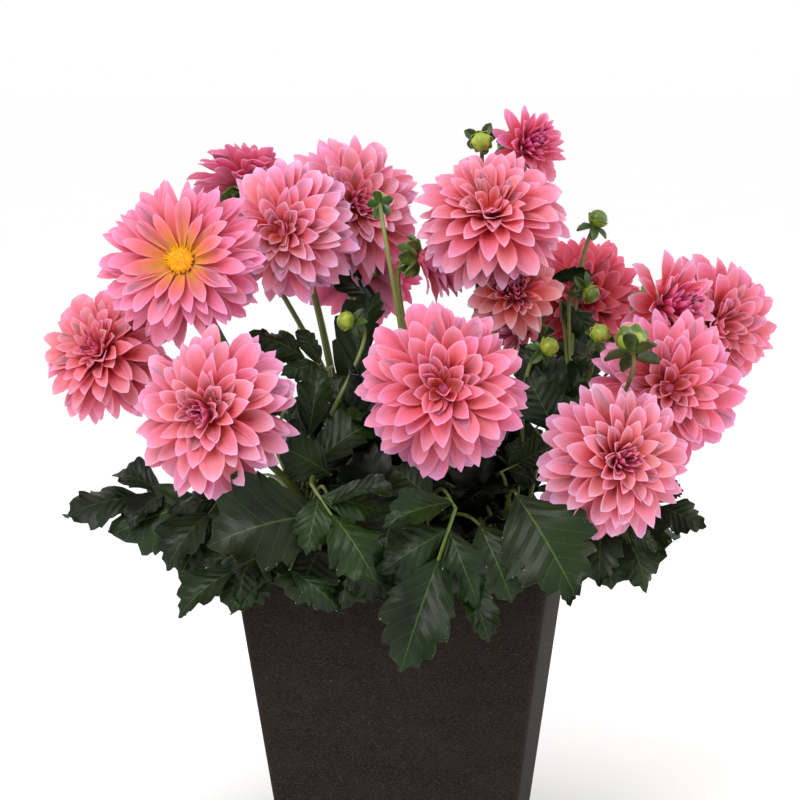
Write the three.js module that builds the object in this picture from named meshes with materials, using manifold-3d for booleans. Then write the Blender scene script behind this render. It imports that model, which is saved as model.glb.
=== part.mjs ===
// A dahlia in bloom in its square planter: double pink flowers, half-open flowers, green buds and
// toothed compound leaves on nine canes that stand in potting soil.
// Millimetres, +Z up. The origin is the middle of the planter's underside, and the front is -Y.

import * as THREE from "three";
import { mergeVertices } from "three/addons/utils/BufferGeometryUtils.js";
import Module from "manifold-3d";

const wasm = await Module();
wasm.setup();

// Driving dimensions
const PLANTER = { height: 300, topWidth: 286, footWidth: 206, wall: 12, floor: 14, corner: 7 };
const DRAIN = { radius: 8, offset: 50 };
const SOIL_LEVEL = 278;
const FIT_GAP = 0.3;
const CANE = { radius: 5, tipRadius: 2.6, sides: 5, steps: 7, sunk: 45 };
const FLOWER_STALK = { radius: 2.8, tipRadius: 2.4, sides: 4, steps: 4 };
const BUD_STALK = { radius: 2.4, tipRadius: 1.9, sides: 4, steps: 4 };
const LEAF_STALK = { radius: 2, tipRadius: 1.4, steps: 2 };
const PETAL_THICKNESS = 1.6;
const LEAF_THICKNESS = 1.8;
const DISC_RADIUS = 12;

// Forms of flower. Every row has the same number of petals, each row set half a step round from the
// last. Rows run from the outside in: lean from the flower's axis and bend along the petal in degrees,
// length and half width as shares of the flower's radius, and cupping. Rings are the radius and height
// of the receptacle below, between and above the rows, and crown is its top
const OPEN_FLOWER = {
  petals: 8,
  rows: [
    { lean: 101, bend: 34, length: 0.87, width: 0.225, cup: 0.3, edge: "round" },
    { lean: 80, bend: 32, length: 0.86, width: 0.22, cup: 0.32, edge: "round" },
    { lean: 57, bend: 26, length: 0.76, width: 0.19, cup: 0.36, edge: "pointed" },
    { lean: 31, bend: 8, length: 0.56, width: 0.135, cup: 0.45, edge: "pointed" },
  ],
  rings: [
    [9, -9],
    [10, -4],
    [9.5, 0],
    [8.5, 4],
    [6.5, 8],
  ],
  crown: 17,
};
const DISC_FLOWER = {
  petals: 9,
  rows: [
    { lean: 102, bend: 26, length: 0.86, width: 0.2, cup: 0.25, edge: "round" },
    { lean: 86, bend: 24, length: 0.86, width: 0.2, cup: 0.28, edge: "round" },
    { lean: 69, bend: 20, length: 0.78, width: 0.18, cup: 0.3, edge: "pointed" },
    { lean: 50, bend: 14, length: 0.56, width: 0.135, cup: 0.35, edge: "pointed" },
  ],
  rings: [
    [9, -9],
    [11, -4],
    [12, 0],
    [13, 4],
    [DISC_RADIUS + 1, 8],
  ],
  crown: 8,
};
const HALF_OPEN_FLOWER = {
  petals: 7,
  rows: [
    { lean: 86, bend: 38, length: 0.86, width: 0.25, cup: 0.35, edge: "round" },
    { lean: 52, bend: 20, length: 0.92, width: 0.23, cup: 0.4, edge: "pointed" },
    { lean: 22, bend: -14, length: 0.84, width: 0.17, cup: 0.5, edge: "pointed" },
  ],
  rings: [
    [7, -9],
    [8, -4],
    [7.5, 0],
    [7, 5],
  ],
  crown: 24,
};

// Half a petal's edge: share of the length, share of the half width. The rib is thickest at PETAL_RIB
const PETAL_NOTCH = 0.12;
const PETAL_EDGES = {
  round: [
    [0.45, 0.8],
    [0.76, 1],
  ],
  pointed: [[0.62, 1]],
};
const PETAL_RIB = 0.55;

// Bracts behind a flower, and behind a bud of a given radius
const FLOWER_CALYX = {
  lobes: 5,
  height: -9 - FIT_GAP,
  depth: 9,
  tipRadius: 21,
  tipDrop: 13,
  notchRadius: 8,
  notchDrop: 3,
};
const budCalyx = (radius) => ({
  lobes: 5,
  height: -radius * 0.8 - FIT_GAP,
  depth: 6,
  tipRadius: radius * 1.9,
  tipDrop: radius * 0.5,
  notchRadius: radius * 0.6,
  notchDrop: 1.5,
});

// Canes: where each stands in the soil, the flower that ends it, and how far it bows out behind that
const CANES = {
  left_front: { root: [-52, -62], ends: "front_left" },
  left: { root: [-84, -8], ends: "top_left" },
  left_back: { root: [-58, 45], ends: "upper_left" },
  middle_back: { root: [-12, 74], ends: "upper_middle" },
  front: { root: [18, -74], ends: "front_middle" },
  middle: { root: [8, -4], ends: "crown_right", bow: 125 },
  right_back: { root: [58, 55], ends: "behind_right" },
  right: { root: [86, 4], ends: "middle_right" },
  right_front: { root: [66, -66], ends: "front_right" },
};

// Flowers: cane, how far up it the stalk leaves or 0 at its end, middle of the receptacle, the way the
// face looks (degrees round from the front, degrees above the horizon), radius, form
const FLOWER_TABLE = {
  top_left: ["left", 0, [-192, -98, 551], [-2, 20], 73, DISC_FLOWER],
  upper_left: ["left_back", 0, [-115, -8, 572], [-10, 4], 66, OPEN_FLOWER],
  crown_left: ["left_back", 0.5, [-168, 76, 611], [172, 50], 52, OPEN_FLOWER],
  upper_middle: ["middle_back", 0, [-66, 69, 590], [28, 20], 70, OPEN_FLOWER],
  back_middle: ["middle_back", 0.45, [-70, 156, 528], [165, 18], 60, OPEN_FLOWER],
  far_left: ["left", 0.45, [-274, -62, 463], [-20, 26], 64, OPEN_FLOWER],
  front_left: ["left_front", 0, [-151, -171, 426], [-12, 12], 75, OPEN_FLOWER],
  front_middle: ["front", 0, [49, -155, 449], [8, 14], 76, OPEN_FLOWER],
  front_right: ["right_front", 0, [197, -128, 386], [28, 10], 69, OPEN_FLOWER],
  middle_right: ["right", 0, [238, -38, 438], [10, 8], 68, OPEN_FLOWER],
  far_right: ["right", 0.4, [272, 124, 476], [38, 6], 71, OPEN_FLOWER],
  back_right: ["right", 0.5, [229, 30, 504], [50, 10], 51, HALF_OPEN_FLOWER],
  crown_right: ["middle", 0, [75, -15, 588], [8, 42], 70, OPEN_FLOWER],
  top_right: ["middle", 0.62, [98, 69, 648], [42, 18], 38, HALF_OPEN_FLOWER],
  side_middle: ["middle", 0.28, [14, 22, 546], [82, -8], 42, HALF_OPEN_FLOWER],
  under_crown: ["middle", 0.45, [96, -8, 520], [8, 14], 43, HALF_OPEN_FLOWER],
  behind_right: ["right_back", 0, [147, 140, 498], [10, 10], 60, OPEN_FLOWER],
  low_middle: ["right_back", 0.4, [96, 88, 474], [-68, -8], 36, HALF_OPEN_FLOWER],
};

// Buds: cane, how far up it the stalk leaves, middle of the bud, the way it looks, radius
const BUD_TABLE = {
  bud_top: ["middle", 0.7, [60, 44, 654], [5, -8], 9.5],
  bud_middle: ["middle", 0.16, [-25, -22, 601], [188, 5], 8],
  bud_left: ["left_front", 0.45, [-55, -36, 494], [-55, 12], 8.5],
  bud_tall_right: ["right", 0.36, [168, 54, 583], [60, 60], 9],
  bud_opening: ["right", 0.3, [208, -84, 484], [190, 42], 14],
  bud_right: ["right", 0.42, [176, -25, 485], [12, 30], 8.5],
  bud_low_right: ["right_front", 0.4, [131, -34, 473], [62, 30], 9],
  bud_hidden: ["right", 0.46, [163, 40, 514], [60, -30], 8.5],
};

// Leaves: cane, how far up it the leaf stalk leaves, where the blade starts, its tip, half width,
// form, and the way the upper face looks
const LEAF_TABLE = [
  ["left", 0.24, [-208, -64, 339], [-303, -96, 317], 41, "three", [-20, 40]],
  ["left", 0.18, [-151, -106, 350], [-198, -146, 279], 36, "three", [-25, 35]],
  ["left_front", 0.2, [-110, -156, 306], [-178, -191, 247], 30, "three", [-20, 30]],
  ["left_front", 0.3, [-55, -165, 338], [-150, -203, 313], 43, "one", [-5, 30]],
  ["left_front", 0.36, [-64, -173, 367], [0, -211, 288], 40, "three", [12, 30]],
  ["left_front", 0.4, [-45, -183, 350], [15, -188, 361], 14, "one", [0, 60]],
  ["left_front", 0.26, [-80, -187, 293], [-31, -203, 260], 12, "one", [0, 50]],
  ["left_front", 0.22, [-117, -122, 342], [-134, -155, 294], 27, "one", [-20, 30]],
  ["front", 0.28, [-30, -170, 318], [10, -192, 267], 22, "one", [5, 25]],
  ["front", 0.38, [59, -171, 353], [2, -199, 334], 16, "one", [0, 35]],
  ["front", 0.3, [63, -175, 349], [22, -226, 214], 48, "three", [-2, 20]],
  ["front", 0.24, [71, -182, 288], [95, -202, 237], 14, "one", [20, 15]],
  ["front", 0.26, [37, -159, 326], [27, -186, 266], 23, "one", [-5, 20]],
  ["front", 0.27, [81, -150, 330], [112, -170, 265], 23, "one", [10, 20]],
  ["right_front", 0.36, [112, -142, 356], [166, -177, 277], 42, "one", [8, 25]],
  ["right_front", 0.4, [181, -85, 336], [183, -124, 274], 20, "one", [12, 20]],
  ["right_front", 0.3, [148, -107, 310], [157, -128, 257], 13, "one", [25, 20]],
  ["right", 0.26, [214, -31, 336], [272, -39, 311], 29, "three", [15, 35]],
  ["right", 0.2, [201, -77, 324], [224, -101, 264], 25, "three", [18, 25]],
  ["right", 0.22, [179, -56, 338], [198, -84, 282], 22, "one", [10, 25]],
  ["left_front", 0.46, [-82, -75, 393], [-74, -54, 456], 16, "one", [-5, 10]],
  ["left_front", 0.44, [-71, -107, 373], [-17, -82, 407], 23, "one", [0, 40]],
  ["left_front", 0.42, [-56, -116, 365], [-99, -130, 392], 22, "one", [-10, 35]],
  ["front", 0.44, [39, -150, 351], [3, -142, 377], 20, "one", [0, 40]],
  ["middle", 0.42, [-53, -11, 380], [-70, 0, 442], 25, "one", [-10, 15]],
  ["middle", 0.5, [-56, 9, 417], [-34, 36, 514], 23, "one", [-15, 15]],
  ["middle", 0.46, [20, -48, 406], [-35, -32, 467], 23, "one", [0, 15]],
  ["middle_back", 0.72, [-42, 77, 500], [-109, 49, 528], 14, "one", [0, 40]],
  ["left_back", 0.5, [-75, -5, 445], [-147, -21, 478], 29, "three", [-10, 40]],
  ["right", 0.4, [116, -6, 393], [173, 26, 452], 27, "three", [5, 20]],
  ["right_front", 0.42, [91, -75, 364], [143, -74, 389], 25, "three", [5, 35]],
  ["right", 0.5, [133, 58, 506], [168, 47, 466], 14, "one", [10, 25]],
  ["right_back", 0.46, [135, 40, 418], [150, 82, 480], 22, "one", [5, 15]],
  ["left", 0.2, [-170, -71, 327], [-259, -102, 303], 34, "one", [-20, 35]],
  ["left", 0.16, [-150, -94, 325], [-189, -136, 270], 32, "one", [-20, 30]],
  ["left_front", 0.18, [-110, -156, 308], [-132, -185, 253], 25, "one", [-10, 25]],
  ["right", 0.2, [187, -38, 327], [232, -66, 273], 31, "one", [15, 30]],
  ["right_front", 0.3, [178, -82, 317], [194, -107, 266], 23, "one", [12, 25]],
  ["left_back", 0.3, [-102, 17, 342], [-113, 47, 405], 27, "one", [-5, 15]],
  ["middle_back", 0.3, [-34, 37, 343], [-88, 47, 395], 38, "one", [0, 20]],
  ["middle", 0.3, [75, 22, 346], [118, 50, 384], 29, "one", [0, 20]],
  ["front", 0.3, [9, -122, 345], [0, -170, 301], 32, "one", [0, 30]],
  ["left_front", 0.22, [-60, -152, 304], [-72, -192, 262], 30, "one", [-5, 30]],
  ["front", 0.24, [-28, -150, 304], [-34, -190, 260], 25, "one", [-4, 28]],
  ["left_front", 0.2, [-106, -142, 303], [-122, -178, 258], 30, "one", [-15, 30]],
  ["front", 0.24, [74, -148, 305], [72, -178, 264], 25, "one", [4, 25]],
  ["right", 0.42, [143, -22, 418], [102, -12, 469], 25, "one", [5, 20]],
  ["right_front", 0.5, [138, -50, 398], [112, -40, 445], 22, "one", [0, 20]],
  ["right", 0.46, [192, -2, 456], [150, -17, 461], 9, "one", [0, 30]],
  ["right_back", 0.62, [124, 60, 524], [166, 51, 531], 7, "one", [0, 20]],
  ["right", 0.38, [136, -24, 384], [164, -16, 428], 22, "one", [10, 20]],
];

function named(table, read) {
  return Object.fromEntries(Object.entries(table).map(([name, row]) => [name, read(row)]));
}

const FLOWERS = named(FLOWER_TABLE, ([cane, up, at, looks, radius, form]) => ({
  cane,
  up,
  at,
  looks,
  radius,
  form,
}));
const BUDS = named(BUD_TABLE, ([cane, up, at, looks, radius]) => ({ cane, up, at, looks, radius }));
const LEAVES = LEAF_TABLE.map(([cane, up, knee, tip, half, form, looks]) => ({
  cane,
  up,
  knee,
  tip,
  half,
  form,
  looks,
}));

// Leaves at the back, placed by a rule: an angle round the planter for each of these canes in turn
const BACK_LEAVES = {
  canes: ["right", "right_back", "middle_back", "middle_back", "left_back", "left"],
  from: 5,
  to: 172,
};

// Forms of leaf in its own plane: along the rib (0 to 1) and out from it (share of the half width).
// A side leaflet starts on the rib, runs along its front edge to its tip and back to a notch
const LEAF_FORMS = {
  one: {
    sides: [],
    end: [
      [0.16, 0.6],
      [0.36, 1],
      [0.42, 0.84],
      [0.62, 0.86],
      [0.67, 0.64],
      [0.85, 0.46],
    ],
    rib: [0.3, 0.66],
  },
  three: {
    sides: [
      {
        from: 0.12,
        front: [
          [0.1, 0.36],
          [0.23, 0.9],
        ],
        tip: [0.45, 1],
        rear: [
          [0.47, 0.72],
          [0.4, 0.34],
        ],
        notch: [0.34, 0.1],
        rib: [0.28, 0.55],
      },
    ],
    end: [
      [0.43, 0.34],
      [0.54, 0.66],
      [0.61, 0.55],
      [0.75, 0.6],
      [0.8, 0.42],
    ],
    rib: [0.5, 0.74],
  },
};

const PINK = { color: 0xf2829d, roughness: 0.55, metalness: 0 };
const DEEP_PINK = { color: 0xd9547c, roughness: 0.55, metalness: 0 };
const DISC_YELLOW = { color: 0xf0ae2c, roughness: 0.7, metalness: 0 };
const LEAF_GREEN = { color: 0x2c4326, roughness: 0.4, metalness: 0 };
const BUD_GREEN = { color: 0x9fae3c, roughness: 0.4, metalness: 0 };
const SOIL_BROWN = { color: 0x33251c, roughness: 0.95, metalness: 0 };
const PLANTER_BROWN = { color: 0x352d2a, roughness: 0.85, metalness: 0 };

const UP = new THREE.Vector3(0, 0, 1);
const degrees = THREE.MathUtils.degToRad;
const vector = ([x, y, z]) => new THREE.Vector3(x, y, z);
const polar = (radius, angle, z) =>
  new THREE.Vector3(radius * Math.cos(angle), radius * Math.sin(angle), z);

// A repeatable draw between 0 and 1
function drawFrom(seed) {
  let state = seed >>> 0;
  return () => {
    state = (Math.imul(state, 1664525) + 1013904223) >>> 0;
    return state / 4294967296;
  };
}

// A three.js geometry as a solid
function solidOf(geometry) {
  const bare = geometry.clone();
  bare.deleteAttribute("normal");
  bare.deleteAttribute("uv");
  const merged = mergeVertices(bare, 1e-4);
  return new wasm.Manifold(
    new wasm.Mesh({
      numProp: 3,
      vertProperties: merged.attributes.position.array,
      triVerts: new Uint32Array(merged.index.array),
    }),
  );
}

// A solid from points and triangles, its faces turned outwards
function solidFrom(points, triangles) {
  const make = (faces) => solidOf(new THREE.BufferGeometry().setFromPoints(points).setIndex(faces.flat()));
  const made = make(triangles);
  return made.volume() > 0 ? made : make(triangles.map(([a, b, c]) => [a, c, b]));
}

// A solid as a named mesh
function meshOf(name, solid, finish) {
  const { vertProperties, triVerts } = solid.getMesh();
  const geometry = new THREE.BufferGeometry();
  geometry.setAttribute("position", new THREE.BufferAttribute(vertProperties, 3));
  geometry.setIndex(new THREE.BufferAttribute(triVerts, 1));
  geometry.computeVertexNormals();
  const mesh = new THREE.Mesh(geometry, new THREE.MeshStandardMaterial(finish));
  mesh.name = name;
  return mesh;
}

const joined = (solids) => wasm.Manifold.union(solids);

// The largest body of a solid, without loose scraps
function mainBody(solid) {
  const bodies = solid.decompose();
  return bodies.reduce((most, body) => (body.volume() > most.volume() ? body : most));
}

// The way a flower, bud or leaf looks, as a unit vector
function lookVector([round, above]) {
  const [a, e] = [degrees(round), degrees(above)];
  return new THREE.Vector3(Math.sin(a) * Math.cos(e), -Math.cos(a) * Math.cos(e), Math.sin(e));
}

// Turn and place of a flower or bud whose own axis is +Z
function placeOf({ at, looks }) {
  const z = lookVector(looks);
  const x = new THREE.Vector3().crossVectors(UP, z).normalize();
  const y = new THREE.Vector3().crossVectors(z, x);
  return new THREE.Matrix4().makeBasis(x, y, z).setPosition(vector(at));
}

// A tube along a curve that narrows towards its end
function tube(curve, { radius, tipRadius, sides, steps }) {
  const section = new THREE.Shape();
  for (let i = 0; i < sides; i += 1) {
    const corner = polar(radius, (2 * Math.PI * i) / sides, 0);
    if (i === 0) section.moveTo(corner.x, corner.y);
    else section.lineTo(corner.x, corner.y);
  }
  const geometry = new THREE.ExtrudeGeometry(section, { steps, extrudePath: curve, bevelEnabled: false });
  const centres = curve.getSpacedPoints(steps);
  const place = geometry.attributes.position;
  const p = new THREE.Vector3();
  for (let i = 0; i < place.count; i += 1) {
    p.fromBufferAttribute(place, i);
    const gaps = centres.map((centre) => centre.distanceTo(p));
    const ring = gaps.indexOf(Math.min(...gaps));
    const share = THREE.MathUtils.lerp(1, tipRadius / radius, ring / steps);
    p.sub(centres[ring]).multiplyScalar(share).add(centres[ring]);
    place.setXYZ(i, p.x, p.y, p.z);
  }
  return solidOf(geometry);
}

// A turned solid about +Z from [radius, height] points
function turned(profile, sides) {
  const lathe = new THREE.LatheGeometry(
    profile.map(([r, z]) => new THREE.Vector2(r, z)),
    sides,
  );
  return solidOf(lathe.rotateX(Math.PI / 2));
}

// A flower facing +Z as one closed surface. It runs from the flat back of the receptacle out along the
// underside of each petal and back along its upper side, row by row, to the crown
function flowerSolid({ radius, form }, seed) {
  const draw = drawFrom(seed);
  const { petals: count, rows, rings, crown } = form;
  const step = (2 * Math.PI) / count;
  const points = [];
  const triangles = [];
  const put = (point) => points.push(point) - 1;
  const wrap = (i) => (i + count) % count;
  const ringPoints = rings.map(([r, z], k) =>
    Array.from({ length: count }, (_, i) => put(polar(r, (i + k / 2) * step, z))),
  );

  rows.forEach((row, k) => {
    const rootRadius = (rings[k][0] + rings[k + 1][0]) / 2;
    const rootHeight = (rings[k][1] + rings[k + 1][1]) / 2;
    const centreLine = (angle, lean, length, t) => {
      const a = degrees(lean - row.bend / 2 + (row.bend * t) / 2);
      return polar(rootRadius + length * t * Math.sin(a), angle, rootHeight + length * t * Math.cos(a));
    };
    const notches = Array.from({ length: count }, (_, i) =>
      put(centreLine((i + k / 2 + 0.5) * step, row.lean, radius * row.length, PETAL_NOTCH)),
    );
    for (let i = 0; i < count; i += 1) {
      const angle = (i + k / 2) * step;
      const lean = row.lean + 6 * (draw() - 0.5);
      const length = radius * row.length * (0.95 + 0.1 * draw());
      const half = radius * row.width;
      const across = polar(1, angle + Math.PI / 2, 0);
      const upperFace = (t) => {
        const a = degrees(lean - row.bend / 2 + row.bend * t);
        return polar(-Math.cos(a), angle, Math.sin(a));
      };
      const edge = (side) =>
        PETAL_EDGES[row.edge].map(([t, wide]) =>
          put(
            centreLine(angle, lean, length, t)
              .addScaledVector(across, side * half * wide)
              .addScaledVector(upperFace(t), half * wide * row.cup),
          ),
        );
      const rib = (side) =>
        put(
          centreLine(angle, lean, length, PETAL_RIB).addScaledVector(
            upperFace(PETAL_RIB),
            (side * PETAL_THICKNESS) / 2,
          ),
        );
      const tip = put(centreLine(angle, lean, length, 1));
      const before = notches[wrap(i - 1)];
      const after = notches[i];
      const outline = [before, ...edge(-1), tip, ...edge(1).reverse(), after];
      const above = rib(1);
      const below = rib(-1);
      for (let j = 0; j + 1 < outline.length; j += 1) {
        triangles.push([outline[j], outline[j + 1], above], [outline[j + 1], outline[j], below]);
      }
      const [low, high] = [ringPoints[k], ringPoints[k + 1]];
      triangles.push(
        [high[wrap(i - 1)], before, above],
        [high[wrap(i - 1)], above, high[i]],
        [high[i], above, after],
        [low[i], below, before],
        [low[i], after, below],
        [low[i], low[wrap(i + 1)], after],
      );
    }
  });

  const back = put(new THREE.Vector3(0, 0, rings[0][1]));
  const top = put(new THREE.Vector3(0, 0, crown));
  const first = ringPoints[0];
  const last = ringPoints[rows.length];
  for (let i = 0; i < count; i += 1) {
    triangles.push([back, first[wrap(i + 1)], first[i]], [top, last[i], last[wrap(i + 1)]]);
  }
  return solidFrom(points, triangles);
}

// The disc of florets in the middle of the flower that is open to its centre: a low dome with relief
function discSolid(radius) {
  const profile = [
    [0, 0],
    [0.96, 0],
    [1, 0.16],
    [0.82, 0.4],
    [0.5, 0.56],
    [0, 0.62],
  ];
  const dome = new THREE.LatheGeometry(
    profile.map(([r, z]) => new THREE.Vector2(r * radius, z * radius)),
    12,
  ).rotateX(Math.PI / 2);
  const place = dome.attributes.position;
  for (let i = 0; i < place.count; i += 1) {
    const [x, y, z] = [place.getX(i), place.getY(i), place.getZ(i)];
    const reach = Math.hypot(x, y) / radius;
    const raised = z > 0.3 * radius ? 1 + 0.12 * Math.cos(6 * Math.atan2(y, x) + 8 * reach) : 1;
    place.setXYZ(i, x, y, z * raised);
  }
  return solidOf(dome);
}

// A green bud: a slightly flattened ball with shallow ribs and a flat seat
function budSolid(radius) {
  const ball = new THREE.SphereGeometry(radius, 8, 4).rotateX(Math.PI / 2);
  const place = ball.attributes.position;
  for (let i = 0; i < place.count; i += 1) {
    const [x, y, z] = [place.getX(i), place.getY(i), place.getZ(i)];
    const rib = 0.96 + 0.04 * Math.cos(4 * Math.atan2(y, x));
    place.setXYZ(i, x * rib, y * rib, Math.max(z * 0.94, -radius * 0.8));
  }
  return solidOf(ball);
}

// Green bracts behind a flower or round a bud: a star of pointed lobes, thickest at its middle
function calyxSolid({ lobes, height, depth, tipRadius, tipDrop, notchRadius, notchDrop }) {
  const points = [new THREE.Vector3(0, 0, height), new THREE.Vector3(0, 0, height - depth)];
  const triangles = [];
  for (let i = 0; i < 2 * lobes; i += 1) {
    const [r, drop] = i % 2 === 0 ? [tipRadius, tipDrop] : [notchRadius, notchDrop];
    points.push(polar(r, (Math.PI * i) / lobes, height - drop));
    const next = 2 + ((i + 1) % (2 * lobes));
    triangles.push([0, 2 + i, next], [1, next, 2 + i]);
  }
  return solidFrom(points, triangles);
}

// The curve of a cane: straight up out of the soil, then over to the back of its flower
function caneCurve({ root: [x, y], ends, bow = 70 }) {
  const { at, looks } = FLOWERS[ends];
  const back = lookVector(looks);
  const end = vector(at).addScaledVector(back, -13);
  return new THREE.CubicBezierCurve3(
    new THREE.Vector3(x, y, SOIL_LEVEL - CANE.sunk),
    new THREE.Vector3(x, y, SOIL_LEVEL + 50),
    end.clone().addScaledVector(back, -bow).addScaledVector(UP, -30),
    end,
  );
}

// The curve of a side stalk: it leaves its cane and comes up behind a flower or bud
function stalkCurve(cane, { up, at, looks }, behind) {
  const start = cane.getPointAt(up);
  const end = vector(at).addScaledVector(lookVector(looks), -behind);
  const reach = end.distanceTo(start);
  const leave = end.clone().sub(start).normalize().addScaledVector(cane.getTangentAt(up), 0.35).normalize();
  return new THREE.CubicBezierCurve3(
    start,
    start.clone().addScaledVector(leave, reach * 0.4),
    end.clone().addScaledVector(lookVector(looks), -reach * 0.22),
    end,
  );
}

// A leaf as one thin arched body: a four-sided stalk that opens into the blade. Both faces of the
// blade are split into triangles alike. Its outline is shared, and the points on its ribs stand half
// the thickness above and below it
function leafSurface({ sides, end, rib }, half, stalkCurve, surface, normal, across) {
  const flat = [];
  const doubled = [];
  const put = ([s, u], onRib = false) => {
    flat.push(new THREE.Vector2(s, u));
    doubled.push(onRib);
    return flat.length - 1;
  };
  const foot = put([0, 0], true);
  const tip = put([1, 0]);
  const starts = sides.map(({ from }) => put([from, 0], true));
  const spine = rib.map((s) => put([s, 0], true)).reverse();
  const footEdges = [];
  const polygons = [];
  for (const hand of [1, -1]) {
    const onHand = ([s, u], onRib) => put([s, u * hand], onRib);
    let edge = onHand([0, LEAF_STALK.tipRadius / half]);
    let anchor = foot;
    footEdges.push(edge);
    sides.forEach((leaflet, k) => {
      const leafletTip = onHand(leaflet.tip);
      const leafletRib = onHand(leaflet.rib, true);
      const notch = onHand(leaflet.notch);
      const front = leaflet.front.map((point) => onHand(point));
      const rear = leaflet.rear.map((point) => onHand(point));
      polygons.push([starts[k], anchor, edge, ...front, leafletTip, leafletRib]);
      polygons.push([starts[k], leafletRib, leafletTip, ...rear, notch]);
      edge = notch;
      anchor = starts[k];
    });
    polygons.push([anchor, edge, ...end.map((point) => onHand(point)), tip, ...spine]);
  }

  const points = [];
  const above = [];
  const below = [];
  flat.forEach(({ x: s, y: u }, i) => {
    const thick = (doubled[i] ? LEAF_THICKNESS / 2 : 0) + (i === foot ? 0.4 : 0);
    const point = surface(s, u);
    above[i] = points.push(point.clone().addScaledVector(normal(s), thick)) - 1;
    below[i] = doubled[i] ? points.push(point.addScaledVector(normal(s), -thick)) - 1 : above[i];
  });
  const triangles = [];
  for (const polygon of polygons) {
    const corners = polygon.map((i) => flat[i]);
    for (const face of THREE.ShapeUtils.triangulateShape(corners, [])) {
      const [a, b, c] = face.map((j) => polygon[j]);
      const turn = flat[b].clone().sub(flat[a]).cross(flat[c].clone().sub(flat[a]));
      const [p, q, r] = turn > 0 ? [a, b, c] : [a, c, b];
      triangles.push([above[p], above[q], above[r]], [below[p], below[r], below[q]]);
    }
  }

  const { steps, radius, tipRadius } = LEAF_STALK;
  let ring = [above[footEdges[0]], above[foot], above[footEdges[1]], below[foot]];
  for (let j = steps - 1; j >= 0; j -= 1) {
    const t = j / steps;
    const centre = stalkCurve.getPointAt(t);
    const along = stalkCurve.getTangentAt(t);
    const r = THREE.MathUtils.lerp(radius, tipRadius, t);
    const side = across.clone().addScaledVector(along, -across.dot(along)).normalize();
    const out = new THREE.Vector3().crossVectors(along, side);
    const next = [side, out, side.clone().negate(), out.clone().negate()].map(
      (way) => points.push(centre.clone().addScaledVector(way, r)) - 1,
    );
    for (let i = 0; i < 4; i += 1) {
      const k = (i + 1) % 4;
      triangles.push([ring[k], ring[i], next[i]], [ring[k], next[i], next[k]]);
    }
    ring = next;
  }
  triangles.push([ring[2], ring[1], ring[0]], [ring[3], ring[2], ring[0]]);
  return solidFrom(points, triangles);
}

// A leaf whose stalk arches from the cane to the foot of its blade
function leafSolid(cane, { up, knee, tip, half, form, looks }) {
  const start = cane.getPointAt(up);
  const foot = vector(knee);
  const end = vector(tip);
  const length = foot.distanceTo(end);
  const along = end.clone().sub(foot).normalize();
  const face = lookVector(looks);
  face.addScaledVector(along, -face.dot(along)).normalize();
  const across = new THREE.Vector3().crossVectors(face, along);
  const arch = (s) => 0.14 * length * 4 * s * (1 - s);
  const slope = (s) => 0.14 * 4 * (1 - 2 * s);
  const normal = (s) => face.clone().addScaledVector(along, -slope(s)).normalize();
  const surface = (s, u) =>
    foot
      .clone()
      .addScaledVector(along, s * length)
      .addScaledVector(across, u * half)
      .addScaledVector(face, arch(s) - 0.16 * half * u * u);
  const crest = start
    .clone()
    .lerp(foot, 0.5)
    .addScaledVector(UP, 10 + 0.25 * start.distanceTo(foot));
  const stalk = new THREE.QuadraticBezierCurve3(start, crest, foot);
  return leafSurface(LEAF_FORMS[form], half, stalk, surface, normal, across);
}

// The leaves at the back, in two tiers round the planter
function backLeaves() {
  const draw = drawFrom(23);
  const { canes, from, to } = BACK_LEAVES;
  return canes.flatMap((cane, i) => {
    const round = from + ((to - from) * (i + 0.5)) / canes.length;
    const a = degrees(round);
    const out = (r, turn, z) => [
      Math.round(r * Math.cos(a + turn)),
      Math.round(r * Math.sin(a + turn)),
      Math.round(z),
    ];
    const turn = 0.2 * (draw() - 0.5);
    const lowTip = out(250 + 16 * draw(), turn, 272);
    const highTip = out(206 + 16 * draw(), 0.1 - turn, 380);
    const low = { up: 0.2, knee: out(172, 0, 330), tip: lowTip, half: 44 };
    const high = { up: 0.42, knee: out(128, 0.1, 398), tip: highTip, half: 38 };
    const looks = [90 + round, 42];
    return [
      { cane, ...low, form: "three", looks },
      { cane, ...high, form: i % 2 ? "one" : "three", looks },
    ];
  });
}

// Everything green on one cane, fused: the cane, its side stalks, the bracts and the leaves
function caneSolid(name, leaves) {
  const cane = caneCurve(CANES[name]);
  const parts = [tube(cane, CANE)];
  for (const flower of Object.values(FLOWERS).filter((f) => f.cane === name)) {
    if (flower.up) parts.push(tube(stalkCurve(cane, flower, 13), FLOWER_STALK));
    parts.push(calyxSolid(FLOWER_CALYX).transform(placeOf(flower).elements));
  }
  for (const bud of Object.values(BUDS).filter((b) => b.cane === name)) {
    parts.push(tube(stalkCurve(cane, bud, bud.radius * 0.8 + 4), BUD_STALK));
    parts.push(calyxSolid(budCalyx(bud.radius)).transform(placeOf(bud).elements));
  }
  for (const leaf of leaves.filter((l) => l.cane === name)) {
    parts.push(leafSolid(cane, leaf));
  }
  return joined(parts);
}

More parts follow.
